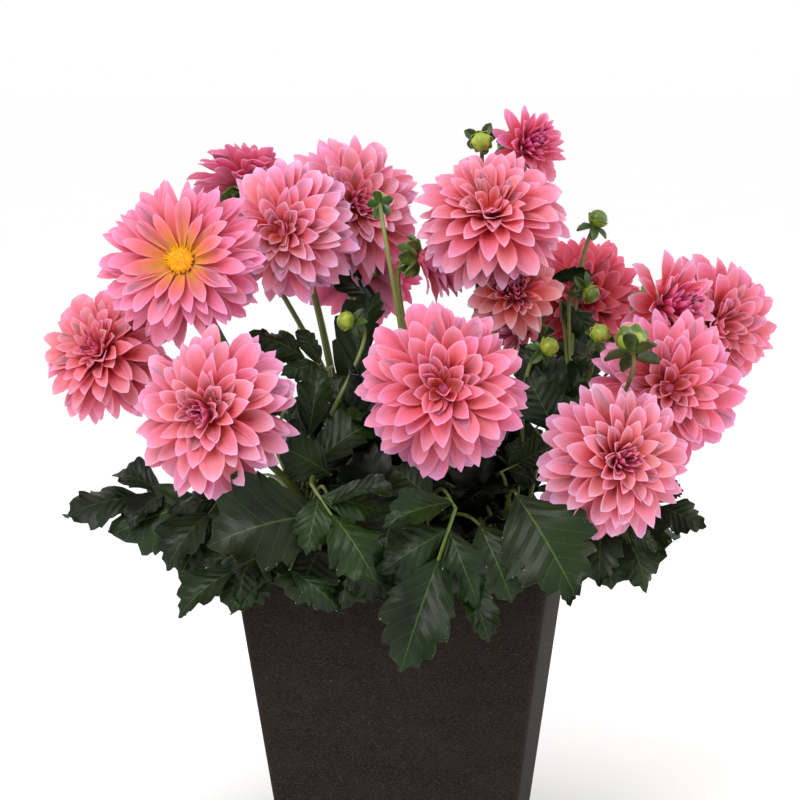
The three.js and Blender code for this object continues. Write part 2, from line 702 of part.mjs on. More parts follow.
// A square block with rounded corners that widens upwards
function taperedBlock(footWidth, topWidth, bottom, top, corner) {
  const half = topWidth / 2;
  const flat = half - corner;
  const outline = new THREE.Shape();
  outline.moveTo(half, -flat);
  outline.lineTo(half, flat);
  outline.absarc(flat, flat, corner, 0, Math.PI / 2);
  outline.absarc(-flat, flat, corner, Math.PI / 2, Math.PI);
  outline.absarc(-flat, -flat, corner, Math.PI, 1.5 * Math.PI);
  outline.absarc(flat, -flat, corner, 1.5 * Math.PI, 2 * Math.PI);
  const block = new THREE.ExtrudeGeometry(outline, {
    depth: top - bottom,
    bevelEnabled: false,
    curveSegments: 2,
  });
  const place = block.attributes.position;
  for (let i = 0; i < place.count; i += 1) {
    const shrink = place.getZ(i) > 0 ? 1 : footWidth / topWidth;
    place.setXY(i, place.getX(i) * shrink, place.getY(i) * shrink);
  }
  return solidOf(block.translate(0, 0, bottom));
}

// Outer width of the planter at a height
const planterWidth = (z) =>
  PLANTER.footWidth + ((PLANTER.topWidth - PLANTER.footWidth) * z) / PLANTER.height;

// The planter: a tapered square shell with a flat rim and four drain holes
function planterSolid() {
  const { height, wall, floor, corner } = PLANTER;
  const shell = taperedBlock(planterWidth(0), planterWidth(height), 0, height, corner);
  const over = height + 1;
  const insideFoot = planterWidth(floor) - 2 * wall;
  const insideTop = planterWidth(over) - 2 * wall;
  const inside = taperedBlock(insideFoot, insideTop, floor, over, 4);
  const drains = [-1, 1].flatMap((x) =>
    [-1, 1].map((y) =>
      turned([[0, -1], [DRAIN.radius, -1], [DRAIN.radius, floor + 1], [0, floor + 1]], 8).translate([
        x * DRAIN.offset,
        y * DRAIN.offset,
        0,
      ]),
    ),
  );
  return shell.subtract(inside).subtract(joined(drains));
}

// Soil that fills the planter, with a lumpy top and a plain hole for each cane
function soilSolid() {
  const { wall, floor } = PLANTER;
  const clear = 2 * (wall + FIT_GAP);
  const bottom = floor + FIT_GAP;
  const bodyFoot = planterWidth(bottom) - clear;
  const bodyTop = planterWidth(SOIL_LEVEL) - clear;
  const body = taperedBlock(bodyFoot, bodyTop, bottom, SOIL_LEVEL, 4);
  const draw = drawFrom(7);
  const reach = planterWidth(SOIL_LEVEL) / 2 - wall - 20;
  const lumps = [];
  for (let i = 0; i < 8; i += 1) {
    const lump = new THREE.OctahedronGeometry(11 + 8 * draw(), 0).rotateZ(3 * draw());
    lump.scale(1, 1, 0.35);
    lump.translate(reach * (2 * draw() - 1), reach * (2 * draw() - 1), SOIL_LEVEL);
    lumps.push(solidOf(lump));
  }
  const hole = { ...CANE, radius: CANE.radius + 0.6, tipRadius: CANE.tipRadius + 0.6 };
  const holes = Object.values(CANES).map((cane) => tube(caneCurve(cane), hole).translate([0, 0, -FIT_GAP]));
  return joined([body, ...lumps]).subtract(joined(holes));
}

const pottedDahlia = new THREE.Group();
pottedDahlia.add(meshOf("planter", planterSolid(), PLANTER_BROWN));
pottedDahlia.add(meshOf("soil", mainBody(soilSolid()), SOIL_BROWN));
const leaves = [...LEAVES, ...backLeaves()];
for (const name of Object.keys(CANES)) {
  pottedDahlia.add(meshOf(`leafy_stem_${name}`, mainBody(caneSolid(name, leaves)), LEAF_GREEN));
}
Object.entries(FLOWERS).forEach(([name, flower], i) => {
  const finish = flower.form === HALF_OPEN_FLOWER ? DEEP_PINK : PINK;
  const mesh = meshOf(`flower_${name}`, flowerSolid(flower, 100 + i), finish);
  mesh.applyMatrix4(placeOf(flower));
  pottedDahlia.add(mesh);
  if (flower.form === DISC_FLOWER) {
    const disc = meshOf(`disc_${name}`, discSolid(DISC_RADIUS), DISC_YELLOW);
    const seat = new THREE.Matrix4().makeTranslation(0, 0, DISC_FLOWER.crown + FIT_GAP);
    disc.applyMatrix4(placeOf(flower).multiply(seat));
    pottedDahlia.add(disc);
  }
});
for (const [name, bud] of Object.entries(BUDS)) {
  const mesh = meshOf(name, budSolid(bud.radius), BUD_GREEN);
  mesh.applyMatrix4(placeOf(bud));
  pottedDahlia.add(mesh);
}

export default pottedDahlia;
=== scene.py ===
import math
import random
from collections import namedtuple

import bmesh
import bpy
from mathutils import Matrix, Vector


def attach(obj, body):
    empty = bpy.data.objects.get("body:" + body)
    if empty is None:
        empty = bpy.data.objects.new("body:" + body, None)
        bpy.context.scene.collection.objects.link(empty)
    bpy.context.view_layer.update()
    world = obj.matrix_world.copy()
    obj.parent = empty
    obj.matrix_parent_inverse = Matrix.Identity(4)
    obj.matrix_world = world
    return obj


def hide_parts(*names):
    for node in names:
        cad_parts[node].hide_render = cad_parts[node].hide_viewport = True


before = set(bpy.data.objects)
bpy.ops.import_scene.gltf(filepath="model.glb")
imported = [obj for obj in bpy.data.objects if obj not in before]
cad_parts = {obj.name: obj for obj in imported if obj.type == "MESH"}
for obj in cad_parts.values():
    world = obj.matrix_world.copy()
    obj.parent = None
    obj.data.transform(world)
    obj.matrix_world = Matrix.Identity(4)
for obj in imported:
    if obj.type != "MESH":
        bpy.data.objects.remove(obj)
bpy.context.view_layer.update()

# The dahlia in its square planter. Sizes are in millimetres, and the front is -Y

MM = 0.001
GOLDEN_ANGLE = math.radians(137.508)
SMOOTH_ANGLE = math.radians(50)
FLAT_ENOUGH = 0.9
PLAIN = (1, 1, 1)

# Planter and soil

PLANTER = {"height": 300, "top": 286, "foot": 206, "wall": 12, "floor": 14, "corner": 7}
DRAIN = {"radius": 8, "offset": 50}
RIM_ROUNDING = 1.6
SOIL_LEVEL = 278
FIT_GAP = 0.3

# Where each cane stands, the flower that ends it, and how far it bows out behind that

CANES = {
    "left_front": {"root": (-52, -62), "ends": "front_left"},
    "left": {"root": (-84, -8), "ends": "top_left"},
    "left_back": {"root": (-58, 45), "ends": "upper_left"},
    "middle_back": {"root": (-12, 74), "ends": "upper_middle"},
    "front": {"root": (18, -74), "ends": "front_middle"},
    "middle": {"root": (8, -4), "ends": "crown_right", "bow": 125},
    "right_back": {"root": (58, 55), "ends": "behind_right"},
    "right": {"root": (86, 4), "ends": "middle_right"},
    "right_front": {"root": (66, -66), "ends": "front_right"},
}
CANE_BOW = 70
CANE_SUNK = 45
BEHIND_FLOWER = 13

# Flowers: cane, how far up it the stalk leaves, middle, the way it looks, radius, form and tint

FLOWERS = {
    "top_left": ("left", None, (-192, -98, 551), (-2, 20), 73, "disc", (1.0, 1.0, 1.0)),
    "upper_left": ("left_back", None, (-115, -8, 572), (-10, 4), 66, "open", (1.1, 1.24, 1.26)),
    "crown_left": ("left_back", 0.5, (-168, 76, 611), (172, 50), 52, "eyed", (0.95, 0.8, 0.9)),
    "upper_middle": ("middle_back", None, (-66, 69, 590), (28, 20), 70, "eyed", (1.05, 1.12, 1.15)),
    "back_middle": ("middle_back", 0.45, (-70, 156, 528), (165, 18), 60, "eyed", (0.95, 0.9, 1.0)),
    "far_left": ("left", 0.45, (-274, -62, 463), (-20, 26), 64, "eyed", (1.03, 0.92, 0.88)),
    "front_left": ("left_front", None, (-151, -171, 426), (-12, 12), 75, "eyed", (1.0, 1.0, 1.0)),
    "front_middle": ("front", None, (49, -155, 449), (8, 14), 76, "open", (1.0, 0.86, 0.92)),
    "front_right": ("right_front", None, (197, -128, 386), (28, 10), 69, "eyed", (1.0, 1.05, 1.03)),
    "middle_right": ("right", None, (238, -38, 438), (10, 8), 68, "open", (1.04, 0.94, 1.0)),
    "far_right": ("right", 0.4, (272, 124, 476), (38, 6), 71, "open", (0.98, 0.9, 0.94)),
    "back_right": ("right", 0.5, (229, 30, 504), (50, 10), 51, "half", (1.0, 1.05, 1.1)),
    "crown_right": ("middle", None, (75, -15, 588), (8, 42), 70, "open", (1.04, 1.02, 1.0)),
    "top_right": ("middle", 0.62, (98, 69, 648), (42, 18), 38, "half", (0.97, 0.72, 1.0)),
    "side_middle": ("middle", 0.28, (14, 22, 546), (82, -8), 42, "half", (1.0, 0.85, 1.0)),
    "under_crown": ("middle", 0.45, (96, -8, 520), (8, 14), 43, "half", (0.95, 1.05, 0.8)),
    # behind_right's darker red tint is painted shade, for the shade it stands in
    "behind_right": ("right_back", None, (147, 140, 498), (10, 10), 60, "open", (0.95, 0.5, 0.56)),
    "low_middle": ("right_back", 0.4, (96, 88, 474), (-68, -8), 36, "half", (1.1, 1.4, 1.25)),
}

# Buds: cane, how far up it the stalk leaves, middle, the way it looks, radius

BUDS = {
    "bud_top": ("middle", 0.7, (60, 44, 654), (5, -8), 9.5),
    "bud_middle": ("middle", 0.16, (-25, -22, 601), (188, 5), 8),
    "bud_left": ("left_front", 0.45, (-55, -36, 494), (-55, 12), 8.5),
    "bud_tall_right": ("right", 0.36, (168, 54, 583), (60, 60), 9),
    "bud_opening": ("right", 0.3, (208, -84, 484), (190, 42), 14),
    "bud_right": ("right", 0.42, (176, -25, 485), (12, 30), 8.5),
    "bud_low_right": ("right_front", 0.4, (131, -34, 473), (62, 30), 9),
    "bud_hidden": ("right", 0.46, (163, 40, 514), (60, -30), 8.5),
}

# Stalks that are browner than the rest, balls and bracts with a tint of their own, and the flower whose
# petals stand closer together

STALK_TINTS = {
    "side_middle": (0.85, 0.55, 0.4),
    "bud_top": (0.6, 0.42, 0.3),
    "bud_opening": (0.9, 0.5, 0.5),
}
BALL_TINTS = {
    "bud_tall_right": (0.4, 0.5, 0.4),
    "bud_middle": (0.5, 0.6, 0.5),
    "bud_hidden": (0.45, 0.5, 0.4),
    "bud_low_right": (0.85, 0.8, 0.6),
}
BRACT_TINTS = {
    "side_middle": (1.7, 1.7, 1.2),
    "bud_opening": (0.6, 0.6, 0.5),
    "bud_top": (0.5, 0.5, 0.4),
}
CLOSING = {"side_middle": 0.7}

# Leaves: cane, how far up it the stalk leaves, foot of the blade, tip, half width, form, the way it looks,
# and for some a painted shade: how much darker they are drawn because they lie in shade

LEAVES = [
    ("left", 0.24, (-208, -64, 339), (-303, -96, 317), 41, "three", (-20, 40), 0.7),
    ("left", 0.18, (-151, -106, 350), (-198, -146, 279), 36, "three", (-25, 35), 0.65),
    ("left_front", 0.2, (-110, -156, 306), (-178, -191, 247), 30, "three", (-20, 30)),
    ("left_front", 0.3, (-55, -165, 338), (-150, -203, 313), 43, "one", (-5, 30), 0.7),
    ("left_front", 0.36, (-64, -173, 367), (0, -211, 288), 40, "three", (12, 30)),
    ("left_front", 0.4, (-45, -183, 350), (15, -188, 361), 14, "one", (0, 60)),
    ("left_front", 0.26, (-80, -187, 293), (-31, -203, 260), 12, "one", (0, 50)),
    ("left_front", 0.22, (-117, -122, 342), (-134, -155, 294), 27, "one", (-20, 30), 0.6),
    ("front", 0.28, (-30, -170, 318), (10, -192, 267), 22, "one", (5, 25)),
    ("front", 0.38, (59, -171, 353), (2, -199, 334), 16, "one", (0, 35)),
    ("front", 0.3, (63, -175, 349), (22, -226, 214), 48, "three", (-2, 20)),
    ("front", 0.24, (71, -182, 288), (95, -202, 237), 14, "one", (20, 15)),
    ("front", 0.26, (37, -159, 326), (27, -186, 266), 23, "one", (-5, 20)),
    ("front", 0.27, (81, -150, 330), (112, -170, 265), 23, "one", (10, 20)),
    ("right_front", 0.36, (112, -142, 356), (166, -177, 277), 42, "one", (8, 25)),
    ("right_front", 0.4, (181, -85, 336), (183, -124, 274), 20, "one", (12, 20)),
    ("right_front", 0.3, (148, -107, 310), (157, -128, 257), 13, "one", (25, 20)),
    ("right", 0.26, (214, -31, 336), (272, -39, 311), 29, "three", (15, 35)),
    ("right", 0.2, (201, -77, 324), (224, -101, 264), 25, "three", (18, 25)),
    ("right", 0.22, (179, -56, 338), (198, -84, 282), 22, "one", (10, 25)),
    ("left_front", 0.46, (-82, -75, 393), (-74, -54, 456), 16, "one", (-5, 10)),
    ("left_front", 0.44, (-71, -107, 373), (-17, -82, 407), 23, "one", (0, 40)),
    ("left_front", 0.42, (-56, -116, 365), (-99, -130, 392), 22, "one", (-10, 35)),
    ("front", 0.44, (39, -150, 351), (3, -142, 377), 20, "one", (0, 40)),
    ("middle", 0.42, (-53, -11, 380), (-70, 0, 442), 25, "one", (-10, 15)),
    ("middle", 0.5, (-56, 9, 417), (-34, 36, 514), 23, "one", (-15, 15)),
    ("middle", 0.46, (20, -48, 406), (-35, -32, 467), 23, "one", (0, 15)),
    ("middle_back", 0.72, (-42, 77, 500), (-109, 49, 528), 14, "one", (0, 40)),
    ("left_back", 0.5, (-75, -5, 445), (-147, -21, 478), 29, "three", (-10, 40)),
    ("right", 0.4, (116, -6, 393), (173, 26, 452), 27, "three", (5, 20)),
    ("right_front", 0.42, (91, -75, 364), (143, -74, 389), 25, "three", (5, 35)),
    ("right", 0.5, (133, 58, 506), (168, 47, 466), 14, "one", (10, 25)),
    ("right_back", 0.46, (135, 40, 418), (150, 82, 480), 22, "one", (5, 15)),
    ("left", 0.2, (-170, -71, 327), (-259, -102, 303), 34, "one", (-20, 35)),
    ("left", 0.16, (-150, -94, 325), (-189, -136, 270), 32, "one", (-20, 30)),
    ("left_front", 0.18, (-110, -156, 308), (-132, -185, 253), 25, "one", (-10, 25)),
    ("right", 0.2, (187, -38, 327), (232, -66, 273), 31, "one", (15, 30)),
    ("right_front", 0.3, (178, -82, 317), (194, -107, 266), 23, "one", (12, 25)),
    ("left_back", 0.3, (-102, 17, 342), (-113, 47, 405), 27, "one", (-5, 15)),
    ("middle_back", 0.3, (-34, 37, 343), (-88, 47, 395), 38, "one", (0, 20)),
    ("middle", 0.3, (75, 22, 346), (118, 50, 384), 29, "one", (0, 20)),
    ("front", 0.3, (9, -122, 345), (0, -170, 301), 32, "one", (0, 30)),
    ("left_front", 0.22, (-60, -152, 304), (-72, -192, 262), 30, "one", (-5, 30)),
    ("front", 0.24, (-28, -150, 304), (-34, -190, 260), 25, "one", (-4, 28)),
    ("left_front", 0.2, (-106, -142, 303), (-122, -178, 258), 30, "one", (-15, 30)),
    ("front", 0.24, (74, -148, 305), (72, -178, 264), 25, "one", (4, 25)),
    ("right", 0.42, (143, -22, 418), (102, -12, 469), 25, "one", (5, 20)),
    ("right_front", 0.5, (138, -50, 398), (112, -40, 445), 22, "one", (0, 20)),
    ("right", 0.46, (192, -2, 456), (150, -17, 461), 9, "one", (0, 30)),
    ("right_back", 0.62, (124, 60, 524), (166, 51, 531), 7, "one", (0, 20)),
    ("right", 0.38, (136, -24, 384), (164, -16, 428), 22, "one", (10, 20)),
]

# Leaves at the back by a rule, and tiers of leaves that fill the plant all round. A tier's foot and tip are
# given as distance from the plant's middle and height, and its shade is painted shade: how much darker its
# leaves are drawn for lying in the plant's shade

BACK_CANES = ("right", "right_back", "middle_back", "middle_back", "left_back", "left")
BACK_ARC = (5, 172)
OUTER_CANES = [name for name in CANES if name != "middle"]
FILL_TIERS = [
    {"count": 13, "up": 0.14, "foot": (88, 306), "tip": (148, 318), "half": 40, "lift": 55, "shade": 0.8},
    {"count": 12, "up": 0.24, "foot": (70, 334), "tip": (132, 360), "half": 36, "lift": 50, "shade": 0.6},
    {"count": 11, "up": 0.34, "foot": (46, 366), "tip": (104, 412), "half": 34, "lift": 42, "shade": 0.5},
    {"count": 12, "up": 0.1, "foot": (82, 296), "tip": (104, 384), "half": 34, "lift": 12, "shade": 0.4},
    {"count": 8, "up": 0.3, "foot": (44, 340), "tip": (66, 450), "half": 32, "lift": 8, "shade": 0.4},
]

# Rows of petals from the outside in: lean from the flower's axis and bend along the petal in degrees,
# length and half width as shares of the flower's radius, cupping, and where it stands on the receptacle

PetalRow = namedtuple("PetalRow", "lean bend length width cup root")
PETAL_ROWS = {
    "open": [
        PetalRow(112, 38, 0.88, 0.130, 0.3, (9, -8)),
        PetalRow(99, 38, 0.9, 0.136, 0.36, (10, -5)),
        PetalRow(84, 36, 0.87, 0.138, 0.42, (10, -1)),
        PetalRow(69, 32, 0.8, 0.135, 0.46, (9, 2)),
        PetalRow(54, 26, 0.68, 0.126, 0.5, (8, 5)),
        PetalRow(40, 14, 0.52, 0.106, 0.56, (6, 8)),
        PetalRow(22, -16, 0.36, 0.08, 0.7, (3, 9)),
    ],
    "eyed": [
        PetalRow(112, 38, 0.88, 0.128, 0.3, (9, -8)),
        PetalRow(99, 38, 0.9, 0.134, 0.36, (10, -5)),
        PetalRow(84, 36, 0.86, 0.137, 0.42, (10, -1)),
        PetalRow(69, 34, 0.78, 0.134, 0.46, (9, 2)),
        PetalRow(54, 28, 0.64, 0.12, 0.52, (8, 5)),
        PetalRow(40, 16, 0.47, 0.094, 0.6, (6, 8)),
        PetalRow(20, -30, 0.38, 0.048, 0.95, (4, 9)),
        PetalRow(5, -30, 0.35, 0.037, 1.0, (1.5, 10)),
    ],
    "disc": [
        PetalRow(109, 30, 0.88, 0.108, 0.3, (10, -7)),
        PetalRow(98, 30, 0.91, 0.11, 0.34, (11, -4)),
        PetalRow(87, 28, 0.89, 0.112, 0.38, (12, -1)),
        PetalRow(76, 24, 0.83, 0.108, 0.42, (12.5, 2)),
        PetalRow(65, 20, 0.72, 0.1, 0.46, (13, 5)),
        PetalRow(54, 14, 0.56, 0.088, 0.5, (13, 7)),
    ],
    "half": [
        PetalRow(98, 36, 0.84, 0.19, 0.34, (7, -7)),
        PetalRow(80, 36, 0.88, 0.18, 0.4, (8, -4)),
        PetalRow(56, 20, 0.92, 0.16, 0.46, (7.5, 0)),
        PetalRow(38, -4, 0.82, 0.105, 0.65, (7, 3)),
        PetalRow(25, -24, 0.76, 0.07, 0.9, (6, 5)),
        PetalRow(13, -32, 0.7, 0.058, 1.0, (4, 7)),
        PetalRow(3, -32, 0.6, 0.05, 1.0, (1, 9)),
    ],
}
PETAL_COUNTS = {"open": 128, "eyed": 136, "disc": 116, "half": 84}
ROW_SPREAD = {"open": 1.45, "eyed": 1.3, "disc": 1.1, "half": 0.66}
PETAL_STEPS = (0, 0.22, 0.44, 0.64, 0.82, 0.94, 1)
PETAL_OUTLINES = [
    (0.34, 0.64, 0.9, 1.0, 0.82, 0.44, 0.03),
    (0.3, 0.56, 0.82, 0.99, 0.96, 0.6, 0.05),
    (0.38, 0.72, 0.97, 0.92, 0.64, 0.3, 0.02),
]
PETAL_CUPS = (0.9, 1.3, 0.7)
PETAL_CURLS = (1.8, 1.2, 3.5)
PETAL_WAVES = (0.05, 0.03, 0.08)
PETAL_COLUMNS = 4
PETAL_THICKNESS = 0.010

# How far each petal may stray from its row: lean in degrees, turns in radians, and shares of its size

LEAN_PLAY = 8
ROUND_PLAY = 0.1
TWIST_PLAY = 0.34
YAW_PLAY = 0.16
LENGTH_PLAY = (0.88, 1.06)
WIDTH_PLAY = (0.84, 1.12)
SHADE_PLAY = (0.95, 1.02)
HUE_PLAY = 0.05

# The receptacle that the innermost petals stand on: its radius, how it is stretched, and its tint

RECEPTACLE_RADIUS = 9.5
RECEPTACLE = ((1.0, 1.0, 1.25, 1), (1.0, 0.8, 0.9))
DISC_RECEPTACLE = ((1.3, 1.3, 0.86, 1), (1.1, 1.1, 0.35))

# The golden disc

DISC_RADIUS = 12
DISC_SEAT = 8.3
DISC_REACH = 0.92
DISC_RISE = 0.5
FLORETS = 210
FLORET_WIDTH = 1.0
FLORET_HEIGHT = (1.1, 2.4)

# Petals and scales of the opening bud, and scales of each green one

OPENING_BUD = "bud_opening"
OPENING_PETALS = 14
OPENING_SCALES = 7
BUD_SCALES = 8

SOIL_LUMPS = 26
SOIL_CRUMBS = 170
CRUMB_RADIUS = 4
CRUMB_REACH = 0.118
LUMP_REACH = 0.11

# Radii of canes and stalks where they start and end

CANE_RADII = (5, 2.6)
FLOWER_STALK_RADII = (2.8, 2.4)
BUD_STALK_RADII = (2.4, 1.9)
LEAF_STALK_RADII = (2.0, 1.4)

LEAF_VEINS = 7
LEAF_COLUMNS = 6
LEAF_HALF = 0.4
LEAF_THICKNESS = 0.012

# Cup, bend, puckering, curl towards the tip, forward sweep of the edges and their wave, for three blades

BLADES = (
    (-0.12, 44, 0.012, 1.5, 0.2, 0.10),
    (0.3, 58, 0.014, 2.2, 0.22, 0.08),
    (-0.34, 62, 0.016, 1.2, 0.18, 0.13),
)
LEAF_OUTLINE = (
    0.08, 0.34, 0.57, 0.74, 0.86, 0.94, 0.99, 1.0, 0.98, 0.94, 0.87, 0.79, 0.69, 0.57, 0.43, 0.25, 0.02
)

# How far the edge stands out from the outline at each step, which makes the teeth

LEAF_EDGES = (
    (1, 1, 1, 1, 1.02, 1.05, 0.93, 1.0, 1.07, 0.88, 1.0, 1.1, 0.84, 1.0, 1.12, 0.82, 1),
    (1, 1, 1.02, 0.97, 1.0, 1.08, 0.88, 0.98, 1.06, 1.08, 0.84, 1.0, 1.1, 0.86, 1.06, 0.86, 1),
    (1, 1, 1, 1.04, 0.94, 1.0, 1.04, 1.1, 0.84, 0.98, 1.06, 0.9, 1.04, 1.12, 0.8, 1.0, 1),
)

BRACT_OUTLINE = (0.5, 0.85, 1.0, 0.8, 0.12)
SCALE_OUTLINE = (0.6, 0.9, 1.0, 0.85, 0.2)


def sway(draw, reach):
    """A random amount to either side of nothing."""
    return draw.uniform(-reach, reach)


def linear(red, green, blue):
    """A screen colour from 0 to 255 as linear light."""
    return tuple(
        c / 12.92 if c <= 0.04045 else ((c + 0.055) / 1.055) ** 2.4
        for c in (red / 255, green / 255, blue / 255)
    ) + (1,)


def stops(*rows):
    """Stops of a colour ramp, each a place and a screen colour."""
    return [(place, linear(*colour)) for place, *colour in rows]


def grey(value):
    return (value, value, value, 1)


def mix(a, b, share):
    return a + (b - a) * share


# Finishes


class Finish:
    """A procedural material, built node by node round one principled shader."""

    def __init__(self, name, gloss=0.5, **sockets):
        self.material = bpy.data.materials.new(name)
        self.material.use_nodes = True
        self.tree = self.material.node_tree
        self.shader = self.tree.nodes["Principled BSDF"]
        for socket, value in sockets.items():
            self.shader.inputs[socket.replace("_", " ").title()].default_value = value
        self.shader.inputs["Specular IOR Level"].default_value = gloss

    def add(self, kind, sockets=None, **settings):
        node = self.tree.nodes.new("ShaderNode" + kind)
        for setting, value in settings.items():
            setattr(node, setting, value)
        for socket, value in (sockets or {}).items():
            if isinstance(value, bpy.types.NodeSocket):
                self.tree.links.new(value, node.inputs[socket])
            else:
                node.inputs[socket].default_value = value
        return node

    def uv(self):
        split = self.add("SeparateXYZ", {0: self.add("TexCoord").outputs["UV"]})
        return split.outputs[0], split.outputs[1]

    def place(self, scale=(1, 1, 1), source="Object"):
        return self.add("Mapping", {0: self.add("TexCoord").outputs[source], 3: scale}).outputs[0]

    def sum(self, operation, a, b=0.0):
        return self.add("Math", {0: a, 1: b}, operation=operation).outputs[0]

    def noise(self, where, scale, detail=3, rough=0.5):
        sockets = {"Vector": where, "Scale": scale, "Detail": detail, "Roughness": rough}
        return self.add("TexNoise", sockets).outputs[0]

    def ramp(self, value, rows):
        node = self.add("ValToRGB", {0: value})
        band = node.color_ramp.elements
        while len(band) < len(rows):
            band.new(0.5)
        for element, (place, colour) in zip(band, rows):
            element.position = place
            element.color = colour
        return node.outputs[0]

    def fade(self, value, start, finish, first=0.0, last=1.0):
        """Grey that runs from first to last while a value runs from start to finish."""
        return self.ramp(value, [(start, grey(first)), (finish, grey(last))])

    def blend(self, share, a, b, kind="MIX"):
        node = self.add("Mix", data_type="RGBA", blend_type=kind)
        for socket, value in ((node.inputs[0], share), (node.inputs[6], a), (node.inputs[7], b)):
            if isinstance(value, bpy.types.NodeSocket):
                self.tree.links.new(value, socket)
            else:
                socket.default_value = value
        return node.outputs[2]

    def reading(self, name, colour=False):
        return self.add("Attribute", attribute_name=name).outputs[0 if colour else 2]

    def colour(self, socket, tinted=True):
        """Sets the colour, times the piece's tint, which for some leaves and one flower holds painted shade.
        """
        if tinted:
            socket = self.blend(1.0, socket, self.reading("tint", True), "MULTIPLY")
        self.tree.links.new(socket, self.shader.inputs["Base Color"])

    def bump(self, height, strength, distance):
        node = self.add("Bump", {"Height": height, "Strength": strength, "Distance": distance})
        self.tree.links.new(node.outputs[0], self.shader.inputs["Normal"])


def petal_finish(name, outer, inner, heart, margin, line_share):
    """A petal: colour from foot to tip, warmer towards the flower's middle, fine lines along it."""
    finish = Finish(
        name,
        gloss=0.3,
        roughness=0.5,
        subsurface_weight=0.6,
        subsurface_scale=0.007,
        subsurface_radius=(1.0, 0.3, 0.3),
    )
    across, along = finish.uv()
    row = finish.reading("heart")
    body = finish.blend(row, finish.ramp(along, outer), finish.ramp(along, inner))
    core = finish.fade(row, 0.8, 0.93)
    body = finish.blend(core, body, finish.ramp(along, heart))
    off_middle = finish.sum("ABSOLUTE", finish.sum("SUBTRACT", across, 0.5))
    edge = finish.fade(off_middle, 0.28, 0.5, last=0.2)
    body = finish.blend(edge, body, margin)
    wobble = finish.noise(finish.place((1, 0.12, 1), "UV"), 9)
    strayed = finish.sum("ADD", across, finish.sum("MULTIPLY", wobble, 0.1))
    lines = finish.sum("SINE", finish.sum("MULTIPLY", strayed, 62))
    faint = finish.fade(lines, 0.35, 1.0, last=line_share)
    body = finish.blend(faint, body, linear(186, 52, 88))
    cloud = finish.ramp(finish.noise(finish.place(), 60), [(0.35, (0.99, 0.92, 0.92, 1)), (0.7, grey(1.0))])
    body = finish.blend(1.0, body, cloud, "MULTIPLY")
    finish.colour(body)
    finish.bump(lines, 0.25, 0.0003)
    return finish.material


# The dark red at the foot of each petal, on both faces, is partly its own colour and partly painted shade
# for the recesses between the petals
petal_upper = petal_finish(
    "petal_upper",
    stops((0.0, 208, 28, 40), (0.36, 220, 76, 98), (0.7, 228, 132, 166), (1.0, 234, 176, 214)),
    stops((0.0, 234, 80, 30), (0.36, 232, 100, 76), (0.7, 230, 130, 140), (1.0, 234, 170, 204)),
    stops((0.0, 234, 120, 66), (0.5, 226, 66, 108), (1.0, 236, 128, 174)),
    linear(234, 172, 212),
    0.16,
)
petal_under = petal_finish(
    "petal_under",
    stops((0.0, 208, 64, 66), (0.4, 218, 108, 142), (1.0, 232, 172, 210)),
    stops((0.0, 222, 84, 58), (0.4, 222, 88, 112), (1.0, 234, 142, 186)),
    stops((0.0, 212, 60, 72), (0.5, 208, 48, 96), (1.0, 224, 96, 148)),
    linear(236, 168, 206),
    0.36,
)
petal_sunny = petal_finish(
    "petal_sunny",
    stops((0.0, 222, 60, 50), (0.3, 228, 86, 104), (0.7, 232, 122, 158), (1.0, 238, 162, 204)),
    stops((0.0, 246, 140, 40), (0.13, 238, 108, 66), (0.4, 232, 100, 112), (1.0, 238, 156, 196)),
    stops((0.0, 250, 176, 46), (0.18, 244, 136, 62), (0.48, 234, 108, 110), (1.0, 238, 152, 190)),
    linear(238, 164, 206),
    0.16,
)


def leaf_finish(name, shade, light, vein, rough, vein_share):
    """A leaf: mottled green with a pale midrib, side veins, a fine net, and painted highlight on its edge:
    pale specks that stand in for glints of light.
    """
    finish = Finish(name, gloss=0.2, roughness=rough)
    across, along = finish.uv()
    off_middle = finish.sum("ABSOLUTE", finish.sum("SUBTRACT", across, 0.5))
    cloud = finish.noise(finish.place(), 28, 4)
    body = finish.ramp(cloud, [(0.3, shade), (0.7, light)])
    midrib = finish.fade(off_middle, 0.003, 0.016, 0.5 * vein_share, 0)
    slant = finish.sum("MULTIPLY", off_middle, 2.4)
    forward = finish.sum("SUBTRACT", finish.sum("MULTIPLY", along, LEAF_VEINS), slant)
    wave = finish.sum("PINGPONG", finish.sum("ADD", forward, 2.5), 0.5)
    side = finish.fade(wave, 0.0, 0.035, 0.24 * vein_share, 0)
    cells = {"Vector": finish.place((1, 1.4, 1), "UV"), "Scale": 26}
    net = finish.add("TexVoronoi", cells, feature="DISTANCE_TO_EDGE").outputs[0]
    body = finish.blend(finish.fade(net, 0.0, 0.06, 0.07 * vein_share, 0), body, vein)
    body = finish.blend(side, body, vein)
    body = finish.blend(midrib, body, vein)
    # Painted highlight: pale specks near the edge stand in for glints of light on the leaf
    painted_glints = finish.fade(finish.noise(finish.place(), 420, 2), 0.68, 0.72, last=0.8)
    rim = finish.fade(off_middle, 0.44, 0.5)
    body = finish.blend(finish.sum("MULTIPLY", painted_glints, rim), body, linear(190, 200, 185))
    finish.colour(body)
    height = finish.sum("ADD", finish.sum("MULTIPLY", finish.fade(net, 0, 0.2), 0.08), cloud)
    height = finish.sum("ADD", height, finish.sum("MULTIPLY", finish.fade(wave, 0, 0.5), 0.9))
    finish.bump(height, 0.5, 0.0012)
    return finish.material


leaf_upper = leaf_finish(
    "leaf_upper", linear(7, 19, 4), linear(27, 45, 14), linear(84, 114, 46), 0.35, 1.0
)
leaf_under = leaf_finish(
    "leaf_under", linear(44, 62, 38), linear(60, 80, 50), linear(104, 128, 72), 0.55, 0.8
)


